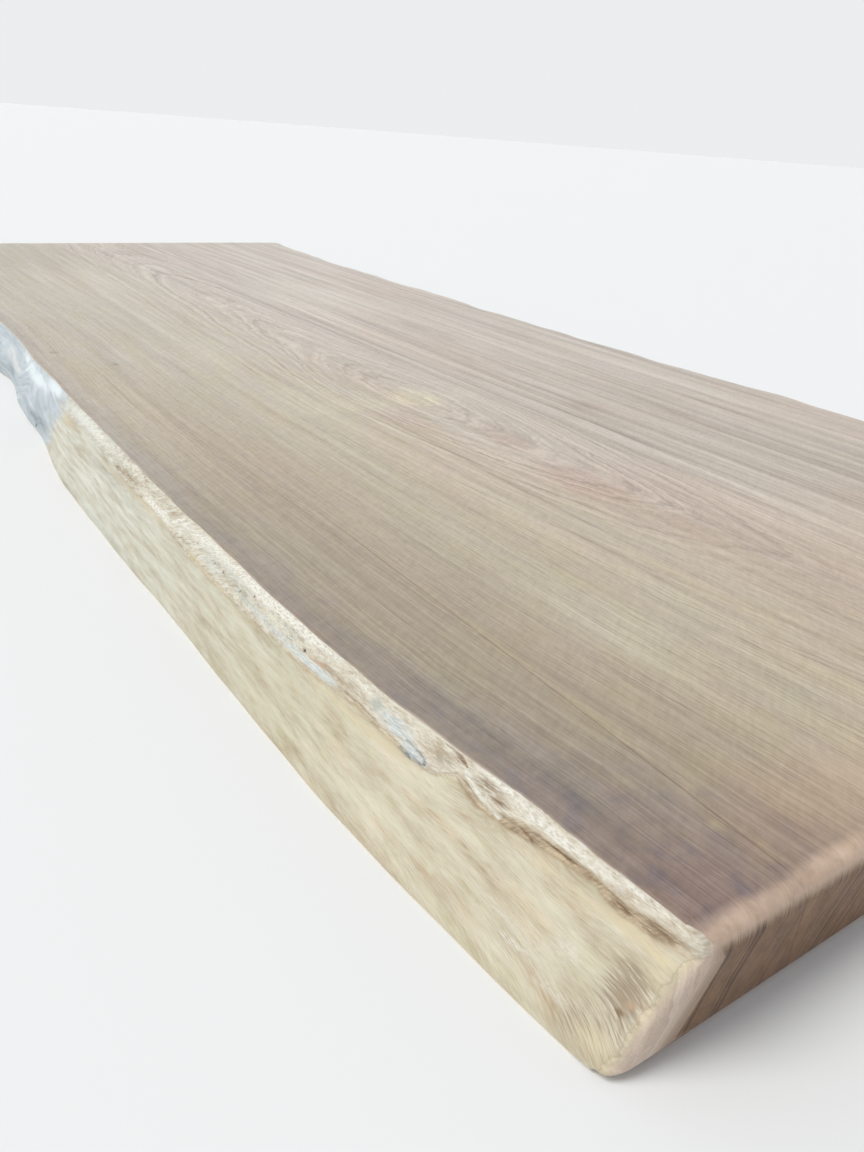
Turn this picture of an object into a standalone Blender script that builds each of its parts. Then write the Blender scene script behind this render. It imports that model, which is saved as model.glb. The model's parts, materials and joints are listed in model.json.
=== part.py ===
"""Live-edge iroko plank, one solid sawn from the side of a log.

The board is flat above and below. Both long edges are the tree's own surface, so they slope
outwards as they go down, and carry the strip that lay under the bark, the crevice below it,
hollows, the swirl of a small branch, and a burl. The near end is rounded over, the far end is
cut square with a small arris. X runs along the board with the near end at +X, Y runs across it
with the detailed edge at -Y, Z is up, and the origin is the middle of the underside.
"""

import math

import bmesh
import bpy

# Driving dimensions, in metres
LENGTH = 2.600
THICKNESS = 0.065
NEAR_END_ROUND = {"top": 0.012, "face": 0.010, "foot": 0.006}
FAR_END_ROUND = {"top": 0.005, "face": 0.005, "foot": 0.004}
ARRIS = 0.0014
UNDERSIDE_ARRIS = 0.0030

# Each edge line is (distance from the near end, distance from the centre line)
FRONT_TOP_LINE = (
    (0.00, 0.4775), (0.06, 0.4825), (0.14, 0.4895), (0.22, 0.4980), (0.28, 0.5032),
    (0.36, 0.5070), (0.52, 0.5078), (0.66, 0.5066), (0.78, 0.5052), (0.83, 0.5016),
    (0.97, 0.4992), (1.14, 0.4937), (1.30, 0.4887), (1.46, 0.4785), (1.56, 0.4757),
    (1.75, 0.4830), (2.00, 0.4910), (2.30, 0.4925), (2.60, 0.4885),
)
FRONT_FOOT_LINE = (
    (0.00, 0.5410), (0.04, 0.5455), (0.12, 0.5530), (0.20, 0.5580), (0.30, 0.5612),
    (0.44, 0.5597), (0.58, 0.5580), (0.72, 0.5580), (0.86, 0.5553), (0.96, 0.5520),
    (1.04, 0.5415), (1.12, 0.5315), (1.20, 0.5287), (1.28, 0.5235), (1.34, 0.5140),
    (1.40, 0.5045), (1.44, 0.5025), (1.50, 0.5055), (1.58, 0.5150), (1.68, 0.5120),
    (1.80, 0.5290), (1.95, 0.5400), (2.20, 0.5450), (2.60, 0.5400),
)
BACK_TOP_LINE = (
    (0.00, 0.5200), (0.25, 0.5270), (0.57, 0.5288), (0.76, 0.5262), (0.92, 0.5112),
    (1.12, 0.5066), (1.36, 0.5010), (1.50, 0.5002), (1.62, 0.5070), (1.75, 0.5035),
    (1.87, 0.4995), (1.98, 0.5040), (2.11, 0.4985), (2.25, 0.5040), (2.36, 0.5135),
    (2.43, 0.5105), (2.50, 0.5240), (2.56, 0.5305), (2.60, 0.5290),
)
BACK_FOOT_LINE = (
    (0.00, 0.5540), (0.30, 0.5660), (0.60, 0.5680), (0.85, 0.5570), (1.10, 0.5490),
    (1.40, 0.5420), (1.70, 0.5500), (2.05, 0.5440), (2.35, 0.5560), (2.60, 0.5640),
)

# The crevice where the bark ended: (distance from the near end, depth below the top)
FRONT_CREVICE = (
    (0.00, 0.0085), (0.05, 0.0125), (0.075, 0.0095), (0.13, 0.0140), (0.165, 0.0150),
    (0.183, 0.0105), (0.20, 0.0165), (0.24, 0.0170), (0.29, 0.0150), (0.34, 0.0185),
    (0.41, 0.0205), (0.58, 0.0228), (0.67, 0.0182), (0.80, 0.0184), (0.92, 0.0150),
    (1.10, 0.0165), (1.60, 0.0170), (2.00, 0.0150), (2.60, 0.0170),
)
BACK_CREVICE = ((0.00, 0.0130), (0.50, 0.0180), (1.00, 0.0150), (1.60, 0.0190), (2.60, 0.0150))

# How deep the crevice is cut: (distance from the near end, depth into the face)
FRONT_CREVICE_CUT = (
    (0.00, 0.0008), (0.03, 0.0024), (0.13, 0.0030), (0.18, 0.0018), (0.25, 0.0026),
    (0.35, 0.0022), (0.60, 0.0020), (0.80, 0.0014), (1.05, 0.0000), (1.85, 0.0000),
    (2.05, 0.0022), (2.50, 0.0024), (2.60, 0.0010),
)
BACK_CREVICE_CUT = (
    (0.00, 0.0010), (0.20, 0.0026), (0.55, 0.0022), (0.80, 0.0006), (1.25, 0.0004),
    (1.50, 0.0024), (2.10, 0.0026), (2.60, 0.0010),
)
CREVICE_HALF_WIDTH = 0.0018
SHOULDER_WIDTHS = 1.4
STRIP_MIDDLE_SHARE = 0.45
STRIP_FULLNESS = 0.0009
FRONT_FULLNESS = 0.0032
BACK_FULLNESS = 0.0045

# Hollows (height below zero) and lobes on an edge:
# distance from the near end, depth below the top, half length, half depth, height
FRONT_FORMS = (
    (0.024, 0.038, 0.026, 0.019, -0.0020),
    (0.160, 0.0105, 0.026, 0.0055, -0.0026),
    (0.232, 0.0090, 0.050, 0.0100, -0.0034),
    (0.345, 0.0130, 0.060, 0.0050, -0.0012),
    (0.520, 0.0400, 0.160, 0.0240, 0.0012),
    (0.640, 0.0195, 0.030, 0.0050, 0.0014),
    (0.860, 0.0460, 0.140, 0.0220, -0.0012),
    (1.175, 0.0470, 0.075, 0.0270, 0.0060),
    (1.110, 0.0250, 0.075, 0.0200, -0.0020),
    (1.300, 0.0400, 0.090, 0.0280, -0.0040),
    (1.405, 0.0350, 0.080, 0.0090, 0.0026),
    (1.500, 0.0440, 0.075, 0.0270, 0.0065),
    (1.625, 0.0360, 0.070, 0.0260, -0.0040),
    (1.730, 0.0440, 0.080, 0.0260, 0.0055),
    (1.850, 0.0260, 0.070, 0.0180, -0.0020),
    (2.280, 0.0420, 0.120, 0.0220, 0.0016),
)
BACK_FORMS = (
    (0.180, 0.0400, 0.110, 0.0230, 0.0020),
    (0.420, 0.0130, 0.070, 0.0090, -0.0026),
    (0.700, 0.0430, 0.060, 0.0210, 0.0045),
    (0.860, 0.0380, 0.060, 0.0240, -0.0040),
    (1.020, 0.0400, 0.090, 0.0250, 0.0030),
    (1.395, 0.0360, 0.045, 0.0220, -0.0045),
    (1.480, 0.0400, 0.045, 0.0220, 0.0045),
    (1.860, 0.0150, 0.080, 0.0100, -0.0026),
    (2.140, 0.0420, 0.110, 0.0230, 0.0030),
    (2.440, 0.0380, 0.050, 0.0220, -0.0035),
)

# The back edge wavers more than the front: (wavelength, amplitude, phase)
BACK_WAVES = ((0.171, 0.0024, 0.4), (0.103, 0.0014, 2.1), (0.330, 0.0016, 1.0))
FRONT_WAVES = ((0.210, 0.0006, 0.9), (0.094, 0.0004, 2.6))
FOOT_WAVE_SHARE = 0.6

# Stations along the length: (up to this distance from the near end, spacing)
STATION_SPACING = ((0.30, 0.0115), (0.75, 0.0160), (1.75, 0.0190), (LENGTH, 0.0270))
NEAR_ROUND_STEPS = 5
FAR_ROUND_STEPS = 3
FRONT_FACE_SHARES = (0.13, 0.28, 0.44, 0.60, 0.76, 0.90)
BACK_FACE_SHARES = (0.20, 0.42, 0.64, 0.86)

WOOD_COLOUR = (0.36, 0.27, 0.19, 1.0)
WOOD_ROUGHNESS = 0.55


def curve_at(points, where):
    """Height of a smooth curve through the points, read at one place along them."""
    last = len(points) - 1
    index = 0
    while index < last - 1 and where > points[index + 1][0]:
        index += 1

    def slope(at):
        before = points[max(at - 1, 0)]
        after = points[min(at + 1, last)]
        return (after[1] - before[1]) / (after[0] - before[0])

    (start, low), (end, high) = points[index], points[index + 1]
    span = end - start
    t = min(max((where - start) / span, 0.0), 1.0)
    return (
        (2 * t**3 - 3 * t**2 + 1) * low
        + (t**3 - 2 * t**2 + t) * span * slope(index)
        + (3 * t**2 - 2 * t**3) * high
        + (t**3 - t**2) * span * slope(index + 1)
    )


def form_height(forms, along, depth):
    """Height of the lobes and hollows at a place on an edge."""
    total = 0.0
    for middle, middle_depth, half_length, half_depth, height in forms:
        reach = ((along - middle) / half_length) ** 2 + ((depth - middle_depth) / half_depth) ** 2
        if reach < 1.0:
            total += height * (1.0 - reach) ** 2
    return total


def wave_height(waves, along):
    return sum(size * math.sin(math.tau * along / length + phase) for length, size, phase in waves)


def relief(edge, along, depth):
    """How far the face stands out from the straight slope, at a distance and a depth."""
    crevice = curve_at(edge["crevice"], along)
    cut = max(curve_at(edge["cut"], along), 0.0)
    height = -cut * math.exp(-(((depth - crevice) / CREVICE_HALF_WIDTH) ** 2))
    if depth < crevice:
        height += STRIP_FULLNESS * math.sin(math.pi * depth / crevice)
    else:
        share = (depth - crevice) / (THICKNESS - crevice)
        height += edge["fullness"] * math.sin(math.pi * share)
    return height + form_height(edge["forms"], along, depth)


def row_depths(edge, along):
    """Depths of the points down an edge: they follow the crevice, then share out the rest."""
    crevice = curve_at(edge["crevice"], along)
    shoulder = crevice + SHOULDER_WIDTHS * CREVICE_HALF_WIDTH
    foot = THICKNESS - UNDERSIDE_ARRIS
    middle = STRIP_MIDDLE_SHARE * crevice
    upper = [ARRIS, middle, crevice - CREVICE_HALF_WIDTH, crevice, shoulder]
    lower = [shoulder + share * (foot - shoulder) for share in edge["shares"]]
    return [0.0] + upper + lower + [foot, THICKNESS]


def round_inset(radius, distance):
    """How far a rounded end has drawn the surface in, at a distance from the end's plane."""
    if distance >= radius:
        return 0.0
    return radius - math.sqrt(radius**2 - (radius - distance) ** 2)


def insets_at(along):
    """Insets of the top, the edge faces and the underside, and the share of the relief kept."""
    near = along < LENGTH / 2
    rounds = NEAR_END_ROUND if near else FAR_END_ROUND
    distance = along if near else LENGTH - along
    insets = {name: round_inset(radius, distance) for name, radius in rounds.items()}
    return insets, 1.0 - (insets["face"] / rounds["face"]) ** 2


def mitre(first, first_inset, second, second_inset):
    """Shift of a corner that moves each of its two sides inwards by that side's own inset."""
    cross = first[0] * second[1] - first[1] * second[0]
    return (
        (second_inset * first[1] - first_inset * second[1]) / cross,
        (first_inset * second[0] - second_inset * first[0]) / cross,
    )


def edge_points(edge, along):
    """Points down one edge of a section, as (distance from the centre line, height)."""
    wave = wave_height(edge["waves"], along)
    top = curve_at(edge["top"], along) + wave
    foot = curve_at(edge["foot"], along) + FOOT_WAVE_SHARE * wave
    slant = math.hypot(foot - top, THICKNESS)
    normal = (THICKNESS / slant, (foot - top) / slant)
    inset, kept = insets_at(along)
    top_shift = mitre((0.0, 1.0), inset["top"], normal, inset["face"])
    foot_shift = mitre((0.0, -1.0), inset["foot"], normal, inset["face"])
    points = []
    for depth in row_depths(edge, along):
        share = depth / THICKNESS
        lift = kept * relief(edge, along, depth) if 0.0 < share < 1.0 else 0.0
        out = top + share * (foot - top) + lift * normal[0]
        height = THICKNESS - depth + lift * normal[1]
        out += top_shift[0] * (1.0 - share) + foot_shift[0] * share
        height += top_shift[1] * (1.0 - share) + foot_shift[1] * share
        points.append((out, height))
    points[0] = (points[0][0] - ARRIS, points[0][1])
    points[-1] = (points[-1][0] - UNDERSIDE_ARRIS, points[-1][1])
    return points


FRONT_EDGE = {
    "top": FRONT_TOP_LINE,
    "foot": FRONT_FOOT_LINE,
    "crevice": FRONT_CREVICE,
    "cut": FRONT_CREVICE_CUT,
    "fullness": FRONT_FULLNESS,
    "forms": FRONT_FORMS,
    "waves": FRONT_WAVES,
    "shares": FRONT_FACE_SHARES,
}
BACK_EDGE = {
    "top": BACK_TOP_LINE,
    "foot": BACK_FOOT_LINE,
    "crevice": BACK_CREVICE,
    "cut": BACK_CREVICE_CUT,
    "fullness": BACK_FULLNESS,
    "forms": BACK_FORMS,
    "waves": BACK_WAVES,
    "shares": BACK_FACE_SHARES,
}


def stations():
    """Distances from the near end of the sections: close together round each end."""
    near = NEAR_END_ROUND["top"]
    far = FAR_END_ROUND["top"]
    quarter = math.pi / 2
    found = [near * (1.0 - math.cos(quarter * k / NEAR_ROUND_STEPS)) for k in range(NEAR_ROUND_STEPS)]
    start = near
    found.append(start)
    for limit, spacing in STATION_SPACING:
        end = min(limit, LENGTH - far)
        count = round((end - start) / spacing)
        found += [start + (end - start) * (k + 1) / count for k in range(count)]
        start = end
    turns = [quarter * (k + 1) / FAR_ROUND_STEPS for k in range(FAR_ROUND_STEPS)]
    return found + [LENGTH - far * (1.0 - math.sin(turn)) for turn in turns]


def section(along):
    """One closed cross-section, down the front edge and up the back edge, as (y, z)."""
    front = [(-out, height) for out, height in edge_points(FRONT_EDGE, along)]
    return front + edge_points(BACK_EDGE, along)[::-1]


def loft_plank(mesh):
    """Skin the sections from end to end, and close both ends."""
    build = bmesh.new()
    rings = []
    for along in stations():
        x = LENGTH / 2 - along
        rings.append([build.verts.new((x, y, z)) for y, z in section(along)])
    size = len(rings[0])
    for ring, beyond in zip(rings, rings[1:]):
        for k in range(size):
            after = (k + 1) % size
            build.faces.new((ring[k], ring[after], beyond[after], beyond[k]))
    build.faces.new(rings[0])
    build.faces.new(rings[-1])
    widths = [vert.co.y for vert in build.verts]
    middle = 0.5 * (min(widths) + max(widths))
    bmesh.ops.translate(build, verts=build.verts, vec=(0.0, -middle, 0.0))
    bmesh.ops.recalc_face_normals(build, faces=build.faces)
    build.to_mesh(mesh)
    build.free()


def wood_material():
    material = bpy.data.materials.new("Iroko wood")
    material.use_nodes = True
    shader = material.node_tree.nodes["Principled BSDF"]
    shader.inputs["Base Color"].default_value = WOOD_COLOUR
    shader.inputs["Roughness"].default_value = WOOD_ROUGHNESS
    shader.inputs["Metallic"].default_value = 0.0
    return material


def main():
    for old in list(bpy.data.objects):
        bpy.data.objects.remove(old)
    collection = bpy.data.collections.new("Iroko plank")
    bpy.context.scene.collection.children.link(collection)
    mesh = bpy.data.meshes.new("iroko_plank")
    loft_plank(mesh)
    mesh.materials.append(wood_material())
    mesh.shade_smooth()
    mesh.set_sharp_from_angle(angle=math.radians(32))
    collection.objects.link(bpy.data.objects.new("iroko_plank", mesh))


main()
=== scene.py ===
# %% [markdown]
# # A live-edge iroko plank
# The board is one slice from the side of a log: flat above and below, with the tree's own
# surface left on both long edges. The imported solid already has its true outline, its lobes and
# its crevice, so this lesson keeps that shape and adds what a hand lens would find: ragged bark
# line, pockets, beetle holes, brushed sapwood, a weathered burl, and the wood itself.

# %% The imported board
import json
import math

import bpy
import numpy as np
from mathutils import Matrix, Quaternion, Vector

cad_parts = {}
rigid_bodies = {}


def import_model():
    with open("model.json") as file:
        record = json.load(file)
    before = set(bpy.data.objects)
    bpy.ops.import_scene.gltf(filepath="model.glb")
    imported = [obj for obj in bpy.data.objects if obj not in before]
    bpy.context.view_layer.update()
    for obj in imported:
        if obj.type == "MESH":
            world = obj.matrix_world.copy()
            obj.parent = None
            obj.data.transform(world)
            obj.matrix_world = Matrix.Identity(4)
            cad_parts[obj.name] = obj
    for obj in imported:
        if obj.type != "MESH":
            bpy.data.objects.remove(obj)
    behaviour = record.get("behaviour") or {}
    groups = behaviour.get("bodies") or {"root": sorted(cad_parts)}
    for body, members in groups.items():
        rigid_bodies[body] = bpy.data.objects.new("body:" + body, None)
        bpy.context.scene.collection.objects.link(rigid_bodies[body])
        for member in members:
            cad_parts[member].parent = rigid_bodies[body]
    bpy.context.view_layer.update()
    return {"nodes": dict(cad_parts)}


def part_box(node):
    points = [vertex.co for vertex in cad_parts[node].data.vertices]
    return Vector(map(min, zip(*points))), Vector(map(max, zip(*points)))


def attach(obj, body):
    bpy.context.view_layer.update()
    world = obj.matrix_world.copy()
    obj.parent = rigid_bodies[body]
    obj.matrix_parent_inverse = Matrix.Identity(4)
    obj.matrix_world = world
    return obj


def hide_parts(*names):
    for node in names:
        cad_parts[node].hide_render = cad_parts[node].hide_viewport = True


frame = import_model()
low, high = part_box("iroko_plank")
length = high.x - low.x
thickness = high.z - low.z
print(f"board {1000 * length:.0f} x {1000 * (high.y - low.y):.0f} x {1000 * thickness:.0f} mm")

# %% [markdown]
# ## The camera
# A wide lens stands close to one corner of the near end and looks down along the board, so the
# corner is large and the far end small. The camera is aimed at a point on the top face, then
# rolled a little, because the photograph was taken with a slight tilt.

# %% Camera
CAMERA_PLACE = Vector((1.4830, -0.8097, 0.4193))
CAMERA_AIM = Vector((0.8891, -0.3746, 0.0650))
CAMERA_ROLL = math.radians(4.37)
LENS = 29.07


def add_object(name, data):
    made = bpy.data.objects.new(name, data)
    bpy.context.scene.collection.objects.link(made)
    return made


camera_data = bpy.data.cameras.new("camera")
camera = add_object("camera", camera_data)
bpy.context.scene.camera = camera
camera_data.lens = LENS
camera_data.clip_start = 0.02
camera.location = CAMERA_PLACE
facing = (CAMERA_AIM - CAMERA_PLACE).to_track_quat("-Z", "Y")
camera.rotation_euler = (facing @ Quaternion((0.0, 0.0, 1.0), CAMERA_ROLL)).to_euler()
print("camera at", tuple(round(v, 3) for v in camera.location))

# %% [markdown]
# ## The room
# The board rests on a plain pale floor that is so wide that its edge is the horizon. A circle
# with a filled middle is enough. It lies a hair below the board, because two faces at the same
# height would flicker through each other.

# %% Floor
FLOOR_RADIUS = 60.0
FLOOR_DROP = 0.0003
FLOOR_COLOUR = (0.80, 0.80, 0.79)
FLOOR_ROUGHNESS = 0.9


def deselect_all():
    for other in bpy.context.view_layer.objects:
        other.select_set(False)


def pick(piece):
    """Selects one piece alone and makes it the active one."""
    deselect_all()
    piece.select_set(True)
    bpy.context.view_layer.objects.active = piece


def start_editing(piece):
    pick(piece)
    bpy.ops.object.mode_set(mode="EDIT")


def stop_editing():
    bpy.ops.object.mode_set(mode="OBJECT")


deselect_all()
bpy.ops.mesh.primitive_circle_add(
    vertices=96, radius=FLOOR_RADIUS, fill_type="NGON", location=(0.0, 0.0, -FLOOR_DROP)
)
floor = bpy.context.object
floor.name = "studio_floor"
floor_material = bpy.data.materials.new("Pale floor")
floor_material.use_nodes = True
floor_shader = floor_material.node_tree.nodes["Principled BSDF"]
floor_shader.inputs["Base Color"].default_value = (*FLOOR_COLOUR, 1.0)
floor_shader.inputs["Roughness"].default_value = FLOOR_ROUGHNESS
floor.data.materials.append(floor_material)
print("floor", floor.dimensions.x, "m across")

# %% [markdown]
# ## The light
# The edge and the top are brightly lit and the near end lies in shade, so the lamp stands high
# on the far left. It is a sun with a wide disc, whose shadows are soft and whose light is even.
# The rest comes from all round: the sky is white at the horizon and has a brighter band above it
# on the far side, like a long window, which gives the top its pale sheen where the eye meets it
# at a low angle.

# %% Lights
KEY_FROM = Vector((-0.35, -0.55, 0.76))
KEY_STRENGTH = 2.3
KEY_WIDTH = math.radians(38)
KEY_COLOUR = (1.0, 0.985, 0.955)
HORIZON_COLOUR = (0.84, 0.85, 0.86, 1.0)
BAND_COLOUR = (0.66, 0.72, 0.80, 1.0)
OVERHEAD_COLOUR = (0.41, 0.425, 0.45, 1.0)
BAND_STRENGTH = 1.75
BAND_FOOT = (0.13, 0.27)
BAND_TOP = (0.36, 0.70)
BAND_SIDE = (0.3, -0.8)
NEAR_SIDE = 0.78
NEAR_REGION = (0.0, 0.9)

key_data = bpy.data.lights.new("key_lamp", "SUN")
key_data.energy = KEY_STRENGTH
key_data.angle = KEY_WIDTH
key_data.color = KEY_COLOUR
key_lamp = add_object("key_lamp", key_data)
key_lamp.rotation_euler = (-KEY_FROM).to_track_quat("-Z", "Y").to_euler()

world = bpy.data.worlds.new("studio")
bpy.context.scene.world = world
world.use_nodes = True
sky = world.node_tree
sky_place = sky.nodes.new("ShaderNodeTexCoord")
sky_parts = sky.nodes.new("ShaderNodeSeparateXYZ")
sky_ramp = sky.nodes.new("ShaderNodeValToRGB")
sky_ramp.color_ramp.interpolation = "EASE"
horizon, overhead = sky_ramp.color_ramp.elements
horizon.position, horizon.color = 0.16, HORIZON_COLOUR
overhead.position, overhead.color = 0.55, OVERHEAD_COLOUR
sky_ramp.color_ramp.elements.new(0.28).color = BAND_COLOUR
sky.links.new(sky_place.outputs["Generated"], sky_parts.inputs[0])
sky.links.new(sky_parts.outputs["Z"], sky_ramp.inputs["Fac"])
sky.links.new(sky_ramp.outputs["Color"], sky.nodes["Background"].inputs["Color"])


def sky_rise(value, start, end, low, high):
    """A smooth step in the sky, from low to high."""
    step = sky.nodes.new("ShaderNodeMapRange")
    step.interpolation_type = "SMOOTHSTEP"
    for name, number in (("From Min", start), ("From Max", end), ("To Min", low), ("To Max", high)):
        step.inputs[name].default_value = number
    sky.links.new(value, step.inputs["Value"])
    return step.outputs["Result"]


def sky_times(first, second):
    product = sky.nodes.new("ShaderNodeMath")
    product.operation = "MULTIPLY"
    sky.links.new(first, product.inputs[0])
    sky.links.new(second, product.inputs[1])
    return product.outputs[0]


height = sky_parts.outputs["Z"]
along_x = sky_parts.outputs["X"]
band = sky_rise(height, *BAND_FOOT, 0.0, BAND_STRENGTH)
band = sky_times(band, sky_rise(height, *BAND_TOP, 1.0, 0.0))
band = sky_times(band, sky_rise(along_x, *BAND_SIDE, 0.0, 1.0))
glow = sky.nodes.new("ShaderNodeMath")
glow.operation = "ADD"
glow.inputs[1].default_value = 1.0
sky.links.new(band, glow.inputs[0])
glow = sky_times(glow.outputs[0], sky_rise(along_x, *NEAR_REGION, 1.0, NEAR_SIDE))
sky.links.new(glow, sky.nodes["Background"].inputs["Strength"])
bpy.context.scene.view_settings.view_transform = "Standard"
print("sun from", tuple(KEY_FROM), "and a sky of", len(sky.nodes), "nodes")

# %% [markdown]
# ## A mesh that can be shaped
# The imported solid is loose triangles, and it has to stay as it is. So the piece starts as a copy
# of it, with its doubles merged. The solid was made of rings, one for each cross-section, and a
# subdivision flows best along such rings. So every point is given its ring and its place in the
# ring, and each edge that joins unlike places, a triangle's diagonal, is dissolved.

# %% Copy of the board
MERGE = 0.00001
ROUND_TO = 5
FRONT, BACK = -1.0, 1.0


def positions(piece):
    flat = np.empty(3 * len(piece.data.vertices))
    piece.data.vertices.foreach_get("co", flat)
    return flat.reshape(-1, 3)


def deselect_mesh(mesh):
    for item in (*mesh.vertices, *mesh.edges, *mesh.polygons):
        item.select = False


packed = frame["nodes"]["iroko_plank"]
plank = add_object("iroko_plank_wood", packed.data.copy())
plank.data.materials.clear()
start_editing(plank)
bpy.ops.mesh.select_mode(type="FACE")
bpy.ops.mesh.select_all(action="SELECT")
bpy.ops.mesh.customdata_custom_splitnormals_clear()
bpy.ops.mesh.remove_doubles(threshold=MERGE)
stop_editing()
print("merged copy:", len(plank.data.vertices), "points")

# %% Rings of the board
points = positions(plank)
along_board = np.round(high.x - points[:, 0], ROUND_TO)
sections, ring_of = np.unique(along_board, return_inverse=True)
place_of = np.zeros(len(points), int)
for ring in range(len(sections)):
    members = np.flatnonzero(ring_of == ring)
    front = members[points[members, 1] < 0.0]
    back = members[points[members, 1] > 0.0]
    order = [*front[np.argsort(-points[front, 2])], *back[np.argsort(points[back, 2])]]
    place_of[order] = np.arange(len(order))
ring_size = place_of.max() + 1

deselect_mesh(plank.data)
diagonals = 0
for edge in plank.data.edges:
    start, end = edge.vertices
    step = abs(place_of[start] - place_of[end])
    if ring_of[start] == ring_of[end]:
        edge.select = bool(step not in (1, ring_size - 1))
    else:
        edge.select = bool(step != 0)
    diagonals += edge.select
start_editing(plank)
bpy.ops.mesh.select_mode(type="EDGE")
bpy.ops.mesh.dissolve_edges(use_verts=False)
stop_editing()
sides = [len(face.vertices) for face in plank.data.polygons]
print(len(sections), "rings of", ring_size, "points;", diagonals, "diagonals dissolved;",
      sides.count(4), "four-sided faces and", len(sides) - sides.count(4), "end caps")

# %% [markdown]
# ## Measuring the edges
# Every feature on a live edge is placed by how far it is from the near end and how deep it lies
# below the top. So the lines that the solid already has are read from its rings first: the top
# corner, the crevice and the foot of both edges.

# %% Lines of the live edges
CORNER_PLACE = 1
CREVICE_PLACE = 4
FOOT_PLACE = 12
BACK_FOOT_PLACE = 15


def ring_line(place, axis):
    """One coordinate of the points at one place of every ring, from the near end on."""
    chosen = np.flatnonzero(place_of == place)
    return points[chosen[np.argsort(ring_of[chosen])], axis]


edges = {
    FRONT: {"corner": ring_line(CORNER_PLACE, 1), "foot": ring_line(FOOT_PLACE, 1),
            "crevice": ring_line(CREVICE_PLACE, 2)},
    BACK: {"corner": ring_line(ring_size - 1 - CORNER_PLACE, 1),
           "foot": ring_line(BACK_FOOT_PLACE, 1),
           "crevice": ring_line(ring_size - 1 - CREVICE_PLACE, 2)},
}


def edge_value(side, name, along):
    """Reads one of the measured lines at any distance from the near end."""
    return np.interp(along, sections, edges[side][name])


for place in (0.05, 0.6, 1.3):
    print(f"at {place} m: front corner y {edge_value(FRONT, 'corner', place):.4f},",
          f"crevice {1000 * (thickness - edge_value(FRONT, 'crevice', place)):.1f} mm down")

# %% [markdown]
# ## Holding rings
# Subdivision rounds every edge in proportion to the faces beside it. The flat faces are a metre
# wide, so beside the corner they would round far too much. An inset ring just inside the border
# of the top and of both ends keeps the rounding tight. The ring of the ends is narrower than the
# shortest side of their outline, because a wider one would fold over itself at the corners. The
# underside only rests on the floor, so there a crease on its border does with fewer faces.

# %% Insets inside the flat faces
TOP_RING = 0.004
END_RING = 0.0008
SQUARE_ON = 0.9999


def select_flat(piece, axis, sign):
    """Selects the faces that look squarely along one axis."""
    deselect_mesh(piece.data)
    for face in piece.data.polygons:
        face.select = sign * face.normal[axis] > SQUARE_ON
    return sum(face.select for face in piece.data.polygons)


for axis, sign, ring in ((2, 1, TOP_RING), (0, 1, END_RING), (0, -1, END_RING)):
    found = select_flat(plank, axis, sign)
    start_editing(plank)
    bpy.ops.mesh.select_mode(type="FACE")
    bpy.ops.mesh.inset(thickness=ring, use_boundary=True, use_even_offset=True)
    stop_editing()
    print("inset ring inside", found, "faces along axis", axis)

print("creased border of", select_flat(plank, 2, -1), "faces below")
start_editing(plank)
bpy.ops.mesh.region_to_loop()
bpy.ops.transform.edge_crease(value=1.0)
bpy.ops.mesh.mark_sharp()
stop_editing()

# %% [markdown]
# ## Subdivision
# Two levels turn each face of the solid into sixteen. The modifier is applied, because the
# ragged details are then pushed into the finer mesh.

# %% Smooth subdivision
LEVELS = 2


def apply_subdivision(piece, levels):
    pick(piece)
    modifier = piece.modifiers.new("finer", "SUBSURF")
    modifier.levels = levels
    modifier.render_levels = levels
    bpy.ops.object.modifier_apply(modifier=modifier.name)


apply_subdivision(plank, LEVELS)
print("after subdivision:", len(plank.data.polygons), "faces")

# %% [markdown]
# ## Closer faces where the eye is close
# The near part of the front edge fills half of the picture, so its faces are cut in two along
# the length, and its upper strip, where the crevice and the pockets are, once more both ways.

# %% Extra cuts near the camera
LONG_REACH = 1.22
NEAR_REACH = 0.32
NEAR_STRIP_FLOOR = 0.043
LENGTHWISE = 0.8


def cut_faces(piece, wanted, lengthwise_only):
    """Subdivides the faces that a test picks, both ways or only along the board."""
    mesh = piece.data
    deselect_mesh(mesh)
    picked = [face for face in mesh.polygons if wanted(face)]
    if lengthwise_only:
        keys = {key for face in picked for key in face.edge_keys}
        for edge in mesh.edges:
            if edge.key in keys:
                start, end = (mesh.vertices[v].co for v in edge.vertices)
                edge.select = abs(end.x - start.x) > LENGTHWISE * (end - start).length
    else:
        for face in picked:
            face.select = True
    start_editing(piece)
    bpy.ops.mesh.select_mode(type="EDGE" if lengthwise_only else "FACE")
    bpy.ops.mesh.subdivide(number_cuts=1, smoothness=0.0, ngon=True)
    stop_editing()
    return len(picked)


def on_front(face):
    """True on the faces of the front live edge."""
    return face.center.y < -0.45 and face.normal.y < -0.35 and abs(face.normal.z) < 0.97


def long_reach(face):
    return on_front(face) and high.x - face.center.x < LONG_REACH


def near_strip(face):
    from_end = high.x - face.center.x
    return on_front(face) and TOP_RING < from_end < NEAR_REACH and face.center.z > NEAR_STRIP_FLOOR


print("cut along the length:", cut_faces(plank, long_reach, True))
print("cut both ways:", cut_faces(plank, near_strip, False))
print("faces now:", len(plank.data.polygons))

# %% [markdown]
# ## Beetle holes need still closer faces
# A hole two millimetres wide is smaller than the faces round it, so the faces at each hole are
# cut twice more. The places are read off the strip: distance from the near end, depth, radius.

# %% Faces at the beetle holes
BEETLE_HOLES = (
    (0.366, 0.0120, 0.0011), (0.459, 0.0086, 0.0008), (0.482, 0.0136, 0.0010),
    (0.521, 0.0126, 0.0010), (0.540, 0.0121, 0.0008), (1.146, 0.0550, 0.0013),
)
HOLE_CLEARING = 0.0026


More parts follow.
